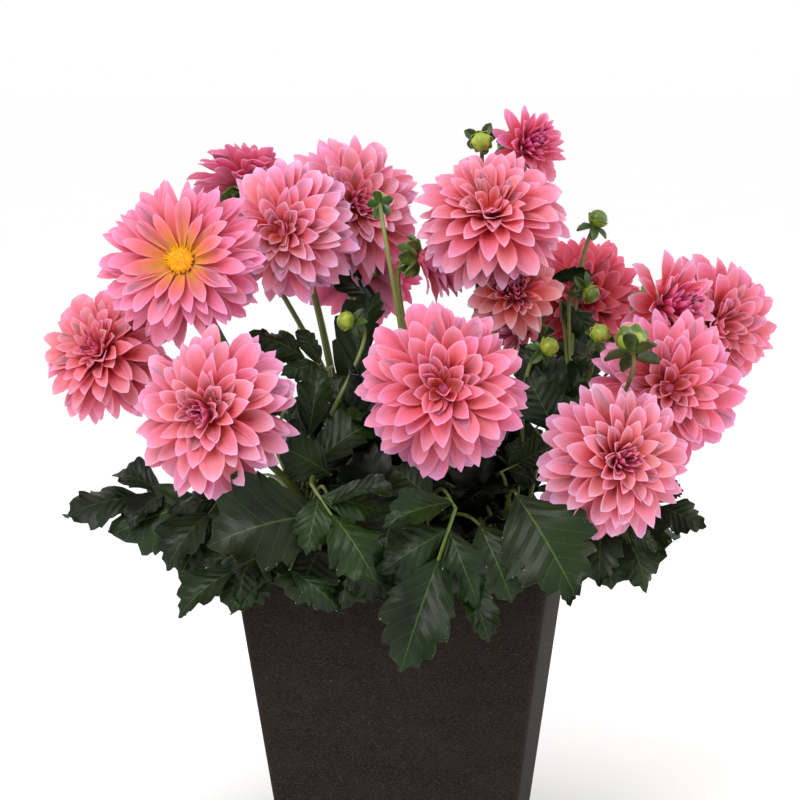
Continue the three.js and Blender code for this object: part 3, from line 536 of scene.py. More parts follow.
def plain_growth(name, dark, light, rough, scale, stretch=(1, 1, 1)):
    """Stem, bract and bud skin: two greens in soft streaks, with a fine grain."""
    finish = Finish(name, roughness=rough)
    streak = finish.noise(finish.place(stretch), scale, 4)
    finish.colour(finish.ramp(streak, [(0.3, dark), (0.7, light)]))
    finish.bump(finish.noise(finish.place(stretch), scale * 6), 0.25, 0.0004)
    return finish.material


stem_skin = plain_growth("stem_skin", linear(70, 80, 34), linear(122, 136, 62), 0.42, 60, (1, 1, 0.15))
bract_skin = plain_growth("bract_skin", linear(36, 58, 24), linear(76, 106, 42), 0.36, 120)
bud_skin = plain_growth("bud_skin", linear(104, 124, 30), linear(164, 176, 62), 0.32, 90)
floret_gold = plain_growth("floret_gold", linear(246, 188, 16), linear(255, 232, 62), 0.6, 260)


def planter_finish():
    """Moulded fibre and stone: near black brown, finely pitted in short level streaks, a few pale grains."""
    finish = Finish("planter_stone", gloss=0.15, roughness=0.82)
    where = finish.place((1, 1, 2.4))
    fine = finish.noise(where, 460, 6, 0.66)
    broad = finish.noise(where, 22, 3)
    body = finish.ramp(fine, stops((0.36, 12, 9, 8), (0.5, 29, 23, 20), (0.64, 58, 46, 38)))
    body = finish.blend(finish.fade(broad, 0.35, 0.7, last=0.3), body, linear(46, 37, 33))
    grains = finish.fade(finish.noise(finish.place(), 900, 1), 0.77, 0.79, last=0.55)
    finish.colour(finish.blend(grains, body, linear(170, 164, 158)), tinted=False)
    finish.bump(fine, 0.9, 0.0016)
    return finish.material


def soil_finish():
    """Potting soil: dark crumbs with paler fibres."""
    finish = Finish("soil_crumb", roughness=0.95)
    crumbs = finish.noise(finish.place(), 190, 6, 0.65)
    browns = stops((0.3, 22, 16, 12), (0.55, 48, 35, 26), (0.75, 92, 72, 54))
    finish.colour(finish.ramp(crumbs, browns), tinted=False)
    finish.bump(crumbs, 0.9, 0.002)
    return finish.material


planter_stone = planter_finish()
soil_crumb = soil_finish()


# Modelling


def deselect():
    if bpy.context.mode != "OBJECT":
        bpy.ops.object.mode_set(mode="OBJECT")
    bpy.ops.object.select_all(action="DESELECT")


def choose(*pieces):
    """Makes these pieces the only selected ones, and the first of them the active one."""
    deselect()
    for piece in pieces:
        piece.select_set(True)
    bpy.context.view_layer.objects.active = pieces[0]


def joined(pieces):
    """Joins pieces into the first of them."""
    choose(*pieces)
    bpy.ops.object.join()
    return bpy.context.object


def select_by(kind):
    modes = bpy.context.tool_settings
    modes.mesh_select_mode = (kind == "vertex", kind == "edge", kind == "face")


def begin(piece):
    """Makes a piece the only selected one and opens it for editing by its vertices."""
    choose(piece)
    bpy.ops.object.mode_set(mode="EDIT")
    select_by("vertex")


def end():
    bpy.ops.object.mode_set(mode="OBJECT")


def pick(piece, test):
    """Selects the vertices that pass a test of their place and number."""
    shell = bmesh.from_edit_mesh(piece.data)
    for vertex in shell.verts:
        vertex.select = bool(test(vertex.co, vertex.index))
    shell.select_flush_mode()
    bmesh.update_edit_mesh(piece.data)


def pick_edges(piece, test):
    """Selects the edges both of whose ends pass a test."""
    select_by("edge")
    shell = bmesh.from_edit_mesh(piece.data)
    for face in shell.faces:
        face.select = False
    for edge in shell.edges:
        edge.select = bool(test(edge.verts[0].co, edge.verts[1].co))
    bmesh.update_edit_mesh(piece.data)


def pick_top(piece):
    """Selects the faces that face upwards."""
    select_by("face")
    shell = bmesh.from_edit_mesh(piece.data)
    for face in shell.faces:
        face.select = face.normal.z > FLAT_ENOUGH
    bmesh.update_edit_mesh(piece.data)


def modify(piece, kind, **settings):
    """Adds a modifier and applies it."""
    choose(piece)
    bpy.ops.object.modifier_add(type=kind)
    modifier = piece.modifiers[-1]
    for setting, value in settings.items():
        setattr(modifier, setting, value)
    bpy.ops.object.modifier_apply(modifier=modifier.name)


def new_piece(name, *materials):
    """Names the primitive just added and gives it its materials."""
    piece = bpy.context.object
    piece.name = name
    for material in materials:
        piece.data.materials.append(material)
    return piece


def paint(piece, tint=PLAIN, heart=0.0):
    """What the finishes read: the piece's tint, which for some leaves and one flower holds painted shade,
    and how near a flower's middle it grows.
    """
    mesh = piece.data
    if "tint" not in mesh.attributes:
        mesh.attributes.new("tint", "FLOAT_COLOR", "POINT")
        mesh.attributes.new("heart", "FLOAT", "POINT")
    count = len(mesh.vertices)
    mesh.attributes["tint"].data.foreach_set("color", (*tint, 1) * count)
    mesh.attributes["heart"].data.foreach_set("value", (heart,) * count)


def copy_of(master, matrix, tint=PLAIN, heart=0.0):
    """A copy with its own mesh, put in its place."""
    piece = master.copy()
    piece.data = master.data.copy()
    bpy.context.scene.collection.objects.link(piece)
    piece.data.transform(matrix)
    paint(piece, tint, heart)
    return piece


def fuse(name, parts, node):
    """Joins parts into the one piece that stands for a node."""
    piece = joined(parts)
    piece.name = name
    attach(piece, "root")
    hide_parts(node)
    return piece


def blade(name, columns, outline, half, cup, bend, materials, thickness, steps=None, edge=None, quilt=0.0,
          curl=1.0, sweep=0.0, wave=0.0, phase=0.0):
    """A blade one unit long that starts at the origin and runs along Y, its upper face towards Z. Every row
    is widened to the outline, its edges are lifted into a cup and a wave, and the rows are bent one after
    another."""
    rows = len(outline) - 1
    steps = steps or [row / rows for row in range(rows + 1)]
    bpy.ops.mesh.primitive_grid_add(x_subdivisions=columns, y_subdivisions=rows, size=1, location=(0, 0, 0))
    piece = new_piece(name, *materials)
    begin(piece)
    bpy.ops.mesh.select_all(action="SELECT")
    bpy.ops.transform.translate(value=(0, 0.5, 0))
    row_of = lambda index: index // (columns + 1)
    column_of = lambda index: index % (columns + 1)
    spot_of = lambda index: (row_of(index), column_of(index))
    for row, wide in enumerate(outline):
        along = steps[row]
        tooth = edge[row] if edge else 1
        pick(piece, lambda co, index: row_of(index) == row)
        bpy.ops.transform.translate(value=(0, along - row / rows, 0))
        bpy.ops.transform.resize(value=(2 * half * wide, 1, 1), center_override=(0, along, 0))
        if edge:
            pick(piece, lambda co, index: row_of(index) == row and column_of(index) in (0, columns))
            bpy.ops.transform.resize(value=(tooth, 1, 1), center_override=(0, along, 0))
        for column in range(columns + 1):
            out = 2 * column / columns - 1
            step = abs(out)
            if step < 0.01:
                continue
            pick(piece, lambda co, index: spot_of(index) == (row, column))
            # Puckers between the rows die away at both ends, and waves along the edge die away at the foot
            ridge = quilt * (-1 if row % 2 else 1) * (1.2 - step) * min(1, 6 * along, 6 * (1 - along))
            ripple = wave * half * 2 * step**2 * math.sin(9 * along + phase + out) * min(1, 4 * along)
            lift = cup * half * wide * step**2 + ridge + ripple
            # The edge sweeps forward, and each tooth leans further forward still
            ahead = sweep * step * wide * (1 - along) + (0.16 * (tooth - 1) if step > 0.99 else 0)
            bpy.ops.transform.translate(value=(0, ahead, lift))
    weights = [mix(1, curl, (a + b) / 2) * (b - a) for a, b in zip(steps, steps[1:])]
    for row in range(1, rows + 1):
        turn = math.radians(bend) * weights[row - 1] / sum(weights)
        shell = bmesh.from_edit_mesh(piece.data)
        shell.verts.ensure_lookup_table()
        hinge = shell.verts[(row - 1) * (columns + 1) + columns // 2].co.copy()
        pick(piece, lambda co, index: row_of(index) >= row)
        bpy.ops.transform.rotate(value=turn, orient_axis="X", center_override=hinge)
    bpy.ops.mesh.select_all(action="SELECT")
    bpy.ops.mesh.remove_doubles(threshold=0.0005)
    end()
    modify(piece, "SOLIDIFY", thickness=thickness, offset=-1, material_offset=len(materials) - 1)
    bpy.ops.object.shade_smooth_by_angle(angle=SMOOTH_ANGLE)
    paint(piece)
    return piece


def tube(name, points, radii, sides, steps, tint):
    """A tapered green tube along one cubic curve, given by its four points in millimetres."""
    deselect()
    bpy.ops.curve.primitive_bezier_curve_add(location=(0, 0, 0))
    piece = bpy.context.object
    piece.name = name
    first, last = piece.data.splines[0].bezier_points
    for point in (first, last):
        point.handle_left_type = point.handle_right_type = "FREE"
    start, leave, arrive, finish = [Vector(p) * MM for p in points]
    first.co, first.handle_left, first.handle_right = start, start, leave
    last.co, last.handle_left, last.handle_right = finish, arrive, finish
    first.radius, last.radius = radii
    piece.data.bevel_depth = MM
    piece.data.bevel_resolution = sides
    piece.data.resolution_u = steps
    piece.data.use_fill_caps = True
    piece.data.materials.append(stem_skin)
    choose(piece)
    bpy.ops.object.convert(target="MESH")
    piece = bpy.context.object
    bpy.ops.object.shade_smooth_by_angle(angle=SMOOTH_ANGLE)
    paint(piece, tint)
    return piece


def look_vector(looks):
    round_, above = (math.radians(v) for v in looks)
    return Vector((math.sin(round_) * math.cos(above), -math.cos(round_) * math.cos(above), math.sin(above)))


def axes(x, y, z):
    """The turn that lays a piece's own axes along three directions."""
    return Matrix((x, y, z)).transposed().to_4x4()


def place_of(at, looks):
    """Turn and place of a flower or bud whose own axis is Z, in metres."""
    z = look_vector(looks)
    x = Vector((0, 0, 1)).cross(z).normalized()
    return Matrix.Translation(Vector(at) * MM) @ axes(x, z.cross(x), z)


def petal_place(angle, root, start, twist, yaw, size, stretch):
    """Place of a petal in its flower: it stands at root and sets out at an angle to the axis."""
    x = Vector((0, -1, 0))
    y = Vector((math.sin(start), 0, math.cos(start)))
    z = Vector((-math.cos(start), 0, math.sin(start)))
    return (
        Matrix.Rotation(angle, 4, "Z")
        @ Matrix.Translation((root[0] * MM, 0, root[1] * MM))
        @ axes(x, y, z)
        @ Matrix.Rotation(yaw, 4, "Z")
        @ Matrix.Rotation(twist, 4, "Y")
        @ Matrix.Diagonal((size * MM * stretch, size * MM, size * MM, 1))
    )


# Masters that are copied

petal_masters = {}
for form, rows in PETAL_ROWS.items():
    face = petal_sunny if form == "disc" else petal_upper
    for number, row in enumerate(rows):
        for cut, outline in enumerate(PETAL_OUTLINES):
            petal_masters[form, number, cut] = blade(
                f"master_petal_{form}_{number}_{cut}",
                PETAL_COLUMNS,
                outline,
                row.width / row.length,
                row.cup * PETAL_CUPS[cut],
                row.bend,
                (face, petal_under),
                PETAL_THICKNESS,
                steps=PETAL_STEPS,
                curl=PETAL_CURLS[cut],
                wave=PETAL_WAVES[cut],
                phase=2.1 * cut,
            )

blade_masters = [
    blade(
        f"master_blade_{number}",
        LEAF_COLUMNS,
        LEAF_OUTLINE,
        LEAF_HALF,
        cup,
        bend,
        (leaf_upper, leaf_under),
        LEAF_THICKNESS,
        edge=LEAF_EDGES[number],
        quilt=quilt,
        curl=curl,
        sweep=sweep,
        wave=wave,
        phase=2.4 * number,
    )
    for number, (cup, bend, quilt, curl, sweep, wave) in enumerate(BLADES)
]
bract_master = blade("master_bract", 2, BRACT_OUTLINE, 0.26, 0.5, 30, (bract_skin,), 0.09)
scale_master = blade("master_scale", 2, SCALE_OUTLINE, 0.34, 0.5, -60, (bud_skin,), 0.05)


def laid_flat(bend, length):
    """Turns a bent blade so that its chord lies along Y, and stretches it to its length."""
    return Matrix.Rotation(math.radians(bend) / 2, 4, "X") @ Matrix.Scale(length, 4)


def leaflet(kind, foot, tip, half):
    """One blade in a leaf's own plane, from foot to tip."""
    foot, tip = Vector((*foot, 0)), Vector((*tip, 0))
    along = tip - foot
    angle = math.atan2(-along.x, along.y)
    size = Matrix.Diagonal((half / LEAF_HALF, along.length, along.length, 1))
    flat = laid_flat(BLADES[kind][1], 1.04)
    matrix = Matrix.Translation(foot) @ Matrix.Rotation(angle, 4, "Z") @ size @ flat
    return copy_of(blade_masters[kind], matrix)


def leaf_master(name, kind, form):
    """A whole leaf one unit long: one blade, or three on a common stalk."""
    if form == "one":
        parts = [leaflet(kind, (0, 0), (0, 1), LEAF_HALF)]
    else:
        parts = [leaflet(kind, (0, 0.3), (0, 1), 0.24)]
        for side in (-1, 1):
            parts.append(leaflet((kind + 1) % 3, (0, 0.13), (side * 0.38, 0.5), 0.15))
        bpy.ops.mesh.primitive_cylinder_add(
            vertices=6, radius=0.014, depth=0.34, location=(0, 0.17, 0), rotation=(math.pi / 2, 0, 0)
        )
        rib = new_piece("rib", stem_skin)
        bpy.ops.object.transform_apply(location=True, rotation=True, scale=True)
        paint(rib)
        parts.append(rib)
    leaf = joined(parts)
    leaf.name = name
    return leaf


leaf_masters = {
    (form, kind): leaf_master(f"master_leaf_{form}_{kind}", kind, form)
    for form in ("one", "three")
    for kind in range(3)
}


# Planter and soil


def width_at(z):
    return mix(PLANTER["foot"], PLANTER["top"], z / PLANTER["height"])


def tapered_block(name, bottom, top, inset, corner, material):
    """A square block that widens upwards as the planter does, its upright edges rounded."""
    low, high = (width_at(bottom) - 2 * inset) * MM, (width_at(top) - 2 * inset) * MM
    bpy.ops.mesh.primitive_cube_add(size=1, location=(0, 0, 0))
    piece = new_piece(name, material)
    begin(piece)
    bpy.ops.mesh.select_all(action="SELECT")
    bpy.ops.transform.resize(value=(low, low, (top - bottom) * MM))
    bpy.ops.transform.translate(value=(0, 0, (top + bottom) / 2 * MM))
    middle = (top + bottom) / 2 * MM
    pick(piece, lambda co, index: co.z > middle)
    bpy.ops.transform.resize(value=(high / low, high / low, 1))
    pick_edges(piece, lambda a, b: abs(a.z - b.z) > 0.05)
    bpy.ops.mesh.bevel(offset=corner * MM, segments=5, profile=0.5)
    end()
    return piece


def make_planter():
    deselect()
    piece = tapered_block("stone_planter", 0, PLANTER["height"], 0, PLANTER["corner"], planter_stone)
    top, floor, wall = PLANTER["height"] * MM, PLANTER["floor"] * MM, PLANTER["wall"]
    begin(piece)
    pick_top(piece)
    bpy.ops.mesh.inset(thickness=wall * MM)
    bpy.ops.mesh.extrude_region_move(TRANSFORM_OT_translate={"value": (0, 0, floor - top)})
    ratio = (width_at(PLANTER["floor"]) - 2 * wall) / (PLANTER["top"] - 2 * wall)
    bpy.ops.transform.resize(value=(ratio, ratio, 1), center_override=(0, 0, floor))
    wall_middle = (PLANTER["top"] - wall) / 2 * MM
    outer = lambda co: max(abs(co.x), abs(co.y)) > wall_middle
    on_rim = lambda a, b: min(a.z, b.z) > top - 1e-5 and outer(a) == outer(b)
    pick_edges(piece, lambda a, b: on_rim(a, b) or max(a.z, b.z) < 1e-5)
    bpy.ops.mesh.bevel(offset=RIM_ROUNDING * MM, segments=3, profile=0.5)
    end()
    deselect()
    cutters = []
    for x in (-1, 1):
        for y in (-1, 1):
            bpy.ops.mesh.primitive_cylinder_add(
                vertices=32,
                radius=DRAIN["radius"] * MM,
                depth=0.06,
                location=(x * DRAIN["offset"] * MM, y * DRAIN["offset"] * MM, floor / 2),
            )
            cutters.append(bpy.context.object)
    drills = joined(cutters)
    modify(piece, "BOOLEAN", operation="DIFFERENCE", solver="MANIFOLD", object=drills)
    bpy.data.objects.remove(drills)
    choose(piece)
    bpy.ops.object.shade_smooth_by_angle(angle=math.radians(32))
    return fuse("stone_planter", [piece], "planter")


def make_soil():
    deselect()
    floor = PLANTER["floor"] + FIT_GAP
    piece = tapered_block("potting_soil", floor, SOIL_LEVEL, PLANTER["wall"] + FIT_GAP, 3, soil_crumb)
    begin(piece)
    pick_top(piece)
    bpy.ops.mesh.inset(thickness=6 * MM)
    bpy.ops.mesh.delete(type="ONLY_FACE")
    end()
    bpy.ops.mesh.primitive_grid_add(
        x_subdivisions=34,
        y_subdivisions=34,
        size=(width_at(SOIL_LEVEL) - 32) * MM,
        location=(0, 0, (SOIL_LEVEL - 1) * MM),
    )
    top = new_piece("soil_top", soil_crumb)
    bpy.ops.object.transform_apply(location=True, rotation=True, scale=True)
    draw = random.Random(7)
    begin(top)
    for _ in range(SOIL_LUMPS):
        spot = Vector((sway(draw, LUMP_REACH), sway(draw, LUMP_REACH)))
        reach, height = draw.uniform(0.008, 0.024), draw.uniform(0.001, 0.0035)
        for ring in (1.0, 0.7, 0.4):
            pick(top, lambda co, index: (co.xy - spot).length < reach * ring)
            bpy.ops.transform.translate(value=(0, 0, height / 3))
    bpy.ops.mesh.select_all(action="SELECT")
    bpy.ops.transform.vertex_random(offset=0.0012, seed=5)
    end()
    modify(top, "SOLIDIFY", thickness=0.004, offset=-1)
    crumbs = []
    deselect()
    bpy.ops.mesh.primitive_ico_sphere_add(subdivisions=1, radius=CRUMB_RADIUS * MM)
    crumb = new_piece("master_crumb", soil_crumb)
    for _ in range(SOIL_CRUMBS):
        size = draw.uniform(0.4, 1.6)
        spin = Matrix.Rotation(draw.uniform(0, 6), 4, "Z") @ Matrix.Rotation(draw.uniform(0, 6), 4, "X")
        at = (sway(draw, CRUMB_REACH), sway(draw, CRUMB_REACH), (SOIL_LEVEL + 1.5) * MM)
        flat = Matrix.Diagonal((size, size * 0.8, size * 0.6, 1))
        crumbs.append(copy_of(crumb, Matrix.Translation(at) @ spin @ flat))
    bpy.data.objects.remove(crumb)
    return fuse("potting_soil", [piece, top, *crumbs], "soil")


# Flowers


def row_at(rows, place):
    """Lean, length and root between the outermost row, 0, and the innermost: a blend of two neighbours."""
    low = min(int(place), len(rows) - 2)
    share = place - low
    a, b = rows[low], rows[low + 1]
    root = [mix(a.root[i], b.root[i], share) for i in (0, 1)]
    return mix(a.lean, b.lean, share), mix(a.length, b.length, share), root


def make_flower(name, spec, seed):
    _, _, at, looks, radius, form, tint = spec
    draw = random.Random(seed)
    place = place_of(at, looks)
    rows = PETAL_ROWS[form]
    count = PETAL_COUNTS[form]
    turn = draw.uniform(0, 6)
    parts = []
    for i in range(count):
        share = i / (count - 1)
        where = (len(rows) - 1) * share ** ROW_SPREAD[form]
        lean, length, root = row_at(rows, where)
        nearest = min(int(where + 0.5), len(rows) - 1)
        lean = (lean + sway(draw, LEAN_PLAY)) * CLOSING.get(name, 1)
        matrix = place @ petal_place(
            i * GOLDEN_ANGLE + turn + sway(draw, ROUND_PLAY),
            root,
            math.radians(lean - rows[nearest].bend / 2),
            sway(draw, TWIST_PLAY),
            sway(draw, YAW_PLAY),
            radius * length * draw.uniform(*LENGTH_PLAY),
            draw.uniform(*WIDTH_PLAY),
        )
        shade = draw.uniform(*SHADE_PLAY)
        hue = sway(draw, HUE_PLAY)
        own = (tint[0] * shade, tint[1] * shade * (1 + hue), tint[2] * shade * (1 - hue))
        heart = {"open": 0.8 * share, "half": min(1, 0.2 + 1.6 * share)}.get(form, share)
        parts.append(copy_of(petal_masters[form, nearest, draw.randrange(3)], matrix, own, heart))
    deselect()
    bpy.ops.mesh.primitive_uv_sphere_add(segments=16, ring_count=8, radius=RECEPTACLE_RADIUS * MM)
    core = new_piece("receptacle", petal_under)
    shape, core_tint = DISC_RECEPTACLE if form == "disc" else RECEPTACLE
    parts.append(copy_of(core, place @ Matrix.Diagonal(shape), core_tint, 0.6))
    bpy.data.objects.remove(core)
    return fuse(f"bloom_{name}", parts, f"flower_{name}")


def make_disc(name, spec):
    """The golden disc: a low dome covered with small florets in spirals."""
    place = place_of(spec[2], spec[3]) @ Matrix.Translation((0, 0, DISC_SEAT * MM))
    draw = random.Random(3)
    deselect()
    bpy.ops.mesh.primitive_uv_sphere_add(segments=24, ring_count=12, radius=1)
    dome = new_piece("dome", floret_gold)
    begin(dome)
    pick(dome, lambda co, index: co.z < -0.01)
    bpy.ops.transform.resize(value=(0.9, 0.9, 0.05), center_override=(0, 0, 0))
    end()
    size = DISC_RADIUS * MM
    low = Matrix.Diagonal((size * DISC_REACH, size * DISC_REACH, size * DISC_RISE, 1))
    parts = [copy_of(dome, place @ low, (0.9, 0.7, 0.5))]
    bpy.data.objects.remove(dome)
    deselect()
    bpy.ops.mesh.primitive_cone_add(vertices=5, radius1=0.4, radius2=0.3, depth=2, location=(0, 0, 1))
    floret = new_piece("floret", floret_gold)
    bpy.ops.object.transform_apply(location=True, rotation=True, scale=True)
    begin(floret)
    pick_top(floret)
    bpy.ops.mesh.extrude_region_move(TRANSFORM_OT_translate={"value": (0, 0, 0.5)})
    bpy.ops.transform.resize(value=(1.9, 1.9, 1))
    bpy.ops.mesh.inset(thickness=0.15)
    bpy.ops.transform.translate(value=(0, 0, -0.3))
    end()
    for i in range(FLORETS):
        share = math.sqrt((i + 0.5) / FLORETS)
        angle = i * GOLDEN_ANGLE + sway(draw, 0.15)
        lean = share * 1.15 + sway(draw, 0.3)
        height = math.cos(share * math.pi / 2) * DISC_RISE
        out = Vector((math.cos(angle), math.sin(angle), 0)) * share * size * DISC_REACH
        spot = out + Vector((0, 0, height * size))
        turn = Matrix.Rotation(angle, 4, "Z") @ Matrix.Rotation(lean * 0.7, 4, "Y")
        tall = draw.uniform(*FLORET_HEIGHT)
        shade = draw.uniform(0.82, 1.1)
        shape = Matrix.Diagonal((FLORET_WIDTH * MM, FLORET_WIDTH * MM, tall * MM, 1))
        tint = (shade, shade * mix(1.05, 0.9, share), shade)
        parts.append(copy_of(floret, place @ Matrix.Translation(spot) @ turn @ shape, tint))
    bpy.data.objects.remove(floret)
    return fuse("florets_top_left", parts, f"disc_{name}")


# Buds


def bud_ball(name):
    """A ball of tight scales: grooved down its sides, slightly flattened, with a flat seat."""
    deselect()
    bpy.ops.mesh.primitive_uv_sphere_add(segments=20, ring_count=12, radius=1)
    piece = new_piece(name, bud_skin)
    begin(piece)
    side_of = lambda co: round(math.atan2(co.y, co.x) / (math.pi / 10)) % 4
    for side, width in ((0, 0.9), (2, 1.02)):
        pick(piece, lambda co, index: co.xy.length > 0.2 and side_of(co) == side)
        bpy.ops.transform.resize(value=(width, width, 1), center_override=(0, 0, 0))
    bpy.ops.mesh.select_all(action="SELECT")
    bpy.ops.transform.resize(value=(1, 1, 0.94), center_override=(0, 0, 0))
    pick(piece, lambda co, index: co.z < -0.75)
    bpy.ops.transform.resize(value=(1, 1, 0), center_override=(0, 0, -0.8))
    end()
    modify(piece, "SUBSURF", levels=1, render_levels=1)
    bpy.ops.object.shade_smooth()
    paint(piece)
    return piece


ball_master = bud_ball("master_bud")


def make_bud(name, spec, seed):
    _, _, at, looks, radius = spec
    draw = random.Random(seed)
    place = place_of(at, looks)
    size = radius * MM
    ball_tint = BALL_TINTS.get(name, PLAIN)
    parts = [copy_of(ball_master, place @ Matrix.Scale(size, 4), ball_tint)]
    if name == OPENING_BUD:
        for i in range(OPENING_PETALS):
            inner = i / (OPENING_PETALS - 1)
            matrix = place @ petal_place(
                i * GOLDEN_ANGLE,
                (mix(8.5, 2, inner), mix(-2, 6, inner)),
                math.radians(mix(26, 6, inner)),
                sway(draw, 0.1),
                0,
                mix(19, 14, inner),
                1.9,
            )
            tint = (mix(0.6, 1.05, inner), mix(1.1, 1.3, inner), mix(0.25, 0.8, inner))
            parts.append(copy_of(petal_masters["half", 5, i % 2], matrix, tint, 0.3))
        for i in range(OPENING_SCALES):
            angle = i * 2 * math.pi / OPENING_SCALES
            matrix = place @ petal_place(angle, (7, -8), math.radians(62), sway(draw, 0.1), 0, 19, 1.2)
            parts.append(copy_of(scale_master, matrix, (0.26, 0.4, 0.2)))
    else:
        for i in range(BUD_SCALES):
            angle = i * 2 * math.pi / BUD_SCALES + 0.3
            root = (radius * 0.35, -radius * 0.8)
            matrix = place @ petal_place(angle, root, math.radians(78), 0, 0, radius * 1.25, 1.0)
            parts.append(copy_of(scale_master, matrix, (0.8, 0.92, 0.7)))
    return fuse(f"green_{name}", parts, name)


# Leafy stems


def bezier_at(points, t):
    a, b, c, d = (Vector(p) for p in points)
    s = 1 - t
    return a * s**3 + b * 3 * s * s * t + c * 3 * s * t * t + d * t**3


def point_at(points, share):
    """The point, and the way the curve runs there, at a share of its length."""
    steps = 200
    line = [bezier_at(points, i / steps) for i in range(steps + 1)]
    lengths = [0.0]
    for a, b in zip(line, line[1:]):
        lengths.append(lengths[-1] + (b - a).length)
    goal = lengths[-1] * share
    i = next(k for k in range(1, steps + 1) if lengths[k] >= goal - 1e-9)
    part = (goal - lengths[i - 1]) / (lengths[i] - lengths[i - 1])
    return line[i - 1].lerp(line[i], part), (line[i] - line[i - 1]).normalized()


def cane_points(cane):
    x, y = cane["root"]
    _, _, at, looks, *_ = FLOWERS[cane["ends"]]
    back = look_vector(looks)
    end_point = Vector(at) - back * BEHIND_FLOWER
    bow = end_point - back * cane.get("bow", CANE_BOW) - Vector((0, 0, 30))
    return [Vector((x, y, SOIL_LEVEL - CANE_SUNK)), Vector((x, y, SOIL_LEVEL + 50)), bow, end_point]


def stalk_points(cane, up, at, looks, behind):
    start, along = point_at(cane, up)
    back = look_vector(looks)
    finish = Vector(at) - back * behind
    reach = (finish - start).length
    leave = ((finish - start).normalized() + along * 0.35).normalized()
    return [start, start + leave * reach * 0.4, finish - back * reach * 0.22, finish]


def leaf_parts(cane, leaf, draw):
    """A leaf on its arched stalk."""
    _, up, knee, tip, half, form, looks, *painted_shade = leaf
    start, _ = point_at(cane, up)
    foot, tip = Vector(knee), Vector(tip)
    crest = (start + foot) / 2 + Vector((0, 0, 10 + 0.25 * (foot - start).length))
    stalk = [start, start.lerp(crest, 2 / 3), foot.lerp(crest, 2 / 3), foot]
    # Random tone, times a painted shade that darkens the leaves that lie in shade
    shade = draw.uniform(0.65, 1.25) * (painted_shade[0] if painted_shade else 1)
    tint = (shade * draw.uniform(0.9, 1.12), shade, shade * draw.uniform(0.85, 1.1))
    length = (tip - foot).length
    y = (tip - foot).normalized()
    z = look_vector(looks)
    z = (z - y * z.dot(y)).normalized()
    roll = Matrix.Rotation(sway(draw, 0.16), 4, "Y")
    size = Matrix.Diagonal((half / LEAF_HALF * MM, length * MM, length * MM, 1))
    matrix = Matrix.Translation(foot * MM) @ axes(y.cross(z), y, z) @ roll @ size
    kind = draw.randrange(3)
    return [
        tube("leaf_stalk", stalk, LEAF_STALK_RADII, 1, 8, (0.8, 0.85, 0.7)),
        copy_of(leaf_masters[form, kind], matrix, tint),
    ]


def bracts(place, count, root, lean, length, stretch, tint, draw):
    """A ring of green bracts."""
    ring = []
    for i in range(count):
        matrix = place @ petal_place(
            (i + 0.15 * draw.uniform(-1, 1)) * 2 * math.pi / count,
            root,
            math.radians(lean + sway(draw, 12)),
            sway(draw, 0.2),
            sway(draw, 0.15),
            length * draw.uniform(0.9, 1.1),
            stretch,
        )
        ring.append(copy_of(bract_master, matrix, tint))
    return ring


def back_leaves():
    """Two tiers of leaves round the back."""
    draw = random.Random(23)
    low, high = BACK_ARC
    leaves = []
    for i, cane in enumerate(BACK_CANES):
        degrees = low + (high - low) * (i + 0.5) / len(BACK_CANES)
        a = math.radians(degrees)
        out = lambda r, turn, z: (r * math.cos(a + turn), r * math.sin(a + turn), z)
        turn = 0.2 * (draw.random() - 0.5)
        looks = (90 + degrees, 42)
        tip = out(250 + 16 * draw.random(), turn, 272)
        leaves.append((cane, 0.2, out(172, 0, 330), tip, 44, "three", looks))
        tip = out(206 + 16 * draw.random(), 0.1 - turn, 380)
        form = "one" if i % 2 else "three"
        leaves.append((cane, 0.42, out(128, 0.1, 398), tip, 38, form, looks))
    return leaves


def fill_leaves():
    """Tiers of leaves that close the plant between its canes."""
    draw = random.Random(41)
    leaves = []
    for number, tier in enumerate(FILL_TIERS):
        for i in range(tier["count"]):
            a = 2 * math.pi * (i + 0.5 * (number % 2) + sway(draw, 0.2)) / tier["count"]
            way = Vector((math.cos(a), math.sin(a)))
            cane = max(OUTER_CANES, key=lambda c: Vector(CANES[c]["root"]).normalized().dot(way))
            (r0, z0), (r1, z1) = tier["foot"], tier["tip"]
            r0, r1 = r0 * draw.uniform(0.85, 1.1), r1 * draw.uniform(0.9, 1.1)
            z0, z1 = z0 + draw.uniform(-8, 12), z1 + draw.uniform(-18, 14)
            foot, tip = (way.x * r0, way.y * r0, z0), (way.x * r1, way.y * r1, z1)
            looks = (90 + math.degrees(a), tier["lift"])
            form = "three" if i % 2 else "one"
            # The tier's shade is painted shade, darker for leaves that lie in the plant's shade
            leaves.append((cane, tier["up"], foot, tip, tier["half"], form, looks, tier["shade"]))
    return leaves


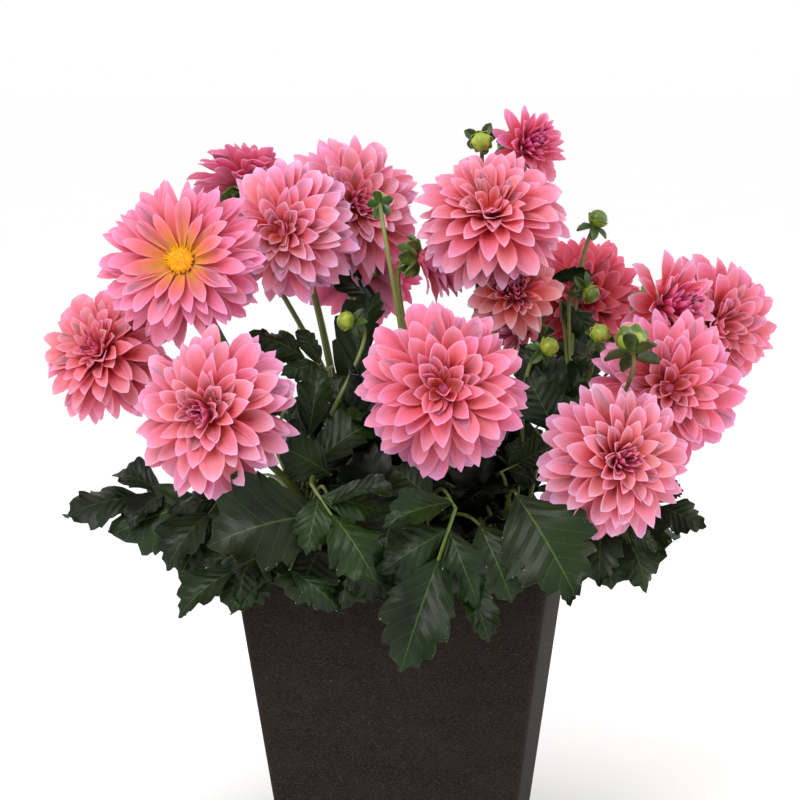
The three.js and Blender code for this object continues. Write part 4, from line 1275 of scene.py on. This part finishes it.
def make_stem(name, leaves, seed):
    """Everything green on one cane: the cane, its side stalks, the bracts and the leaves."""
    draw = random.Random(seed)
    cane = cane_points(CANES[name])
    parts = [tube("cane", cane, CANE_RADII, 3, 40, (0.8, 0.8, 0.65))]
    for flower, (cane_name, up, at, looks, *_) in FLOWERS.items():
        if cane_name != name:
            continue
        if up:
            points = stalk_points(cane, up, at, looks, BEHIND_FLOWER)
            tint = STALK_TINTS.get(flower, PLAIN)
            parts.append(tube("stalk", points, FLOWER_STALK_RADII, 2, 24, tint))
        place = place_of(at, looks)
        parts += bracts(place, 5, (5, -12), 124, 19, 1.0, BRACT_TINTS.get(flower, PLAIN), draw)
        parts += bracts(place, 8, (5, -10), 100, 20, 1.2, (1.9, 1.7, 1.3), draw)
    for bud, (cane_name, up, at, looks, radius) in BUDS.items():
        if cane_name != name:
            continue
        points = stalk_points(cane, up, at, looks, radius * 0.8 + 4)
        tint = STALK_TINTS.get(bud, PLAIN)
        parts.append(tube("stalk", points, BUD_STALK_RADII, 2, 24, tint))
        root = (radius * 0.25, -radius * 0.8 - 2)
        lean = 74 if bud == OPENING_BUD else 100
        tint = BRACT_TINTS.get(bud, (0.9, 0.9, 0.9))
        parts += bracts(place_of(at, looks), 5, root, lean, radius * 1.7, 1.0, tint, draw)
    for leaf in leaves:
        if leaf[0] == name:
            parts += leaf_parts(cane, leaf, draw)
    return fuse(f"stem_{name}", parts, f"leafy_stem_{name}")


make_planter()
make_soil()
leaves = LEAVES + back_leaves() + fill_leaves()
for number, name in enumerate(CANES):
    make_stem(name, leaves, 300 + number)
for number, (name, spec) in enumerate(FLOWERS.items()):
    make_flower(name, spec, 100 + number)
    if spec[5] == "disc":
        make_disc(name, spec)
for number, (name, spec) in enumerate(BUDS.items()):
    make_bud(name, spec, 500 + number)

for masters in (petal_masters.values(), blade_masters, leaf_masters.values()):
    for master in masters:
        bpy.data.objects.remove(master)
for master in (bract_master, scale_master, ball_master):
    bpy.data.objects.remove(master)

# Floor, light and camera

deselect()
bpy.ops.mesh.primitive_circle_add(vertices=64, radius=30, fill_type="NGON", location=(0, 0, 0))
floor_finish = Finish("studio_floor", roughness=0.9)
pale = floor_finish.fade(floor_finish.noise(floor_finish.place(), 3), 0.3, 0.7, 0.99)
floor_finish.colour(pale, tinted=False)
new_piece("studio_floor", floor_finish.material)

world = bpy.data.worlds.new("studio")
world.use_nodes = True
world.node_tree.nodes["Background"].inputs[0].default_value = (1, 1, 1, 1)
world.node_tree.nodes["Background"].inputs[1].default_value = 1.0
bpy.context.scene.world = world
bpy.context.scene.view_settings.view_transform = "Standard"

MIDDLE = Vector((-0.010, 0, 0.417))
CAMERA_LOOKS = (8, 8)
CAMERA_DISTANCE = 2.4
LENS = 116.6


def soft_light(name, azimuth, elevation, distance, size, power, colour):
    way = look_vector((azimuth, elevation))
    bpy.ops.object.light_add(type="AREA", location=MIDDLE + way * distance)
    lamp = bpy.context.object
    lamp.name = name
    lamp.rotation_euler = (-way).to_track_quat("-Z", "Y").to_euler()
    lamp.data.shape = "DISK"
    lamp.data.size = size
    lamp.data.energy = power
    lamp.data.color = colour


soft_light("key", -20, 40, 2.2, 1.4, 29.5, (1, 0.98, 0.97))
soft_light("side", 95, 20, 2.4, 1.2, 15, (1, 0.95, 0.9))

back = look_vector(CAMERA_LOOKS)
bpy.ops.object.camera_add(location=MIDDLE + back * CAMERA_DISTANCE)
camera = bpy.context.object
camera.rotation_euler = (-back).to_track_quat("-Z", "Y").to_euler()
camera.data.lens = LENS
camera.data.sensor_width = 36
bpy.context.scene.camera = camera
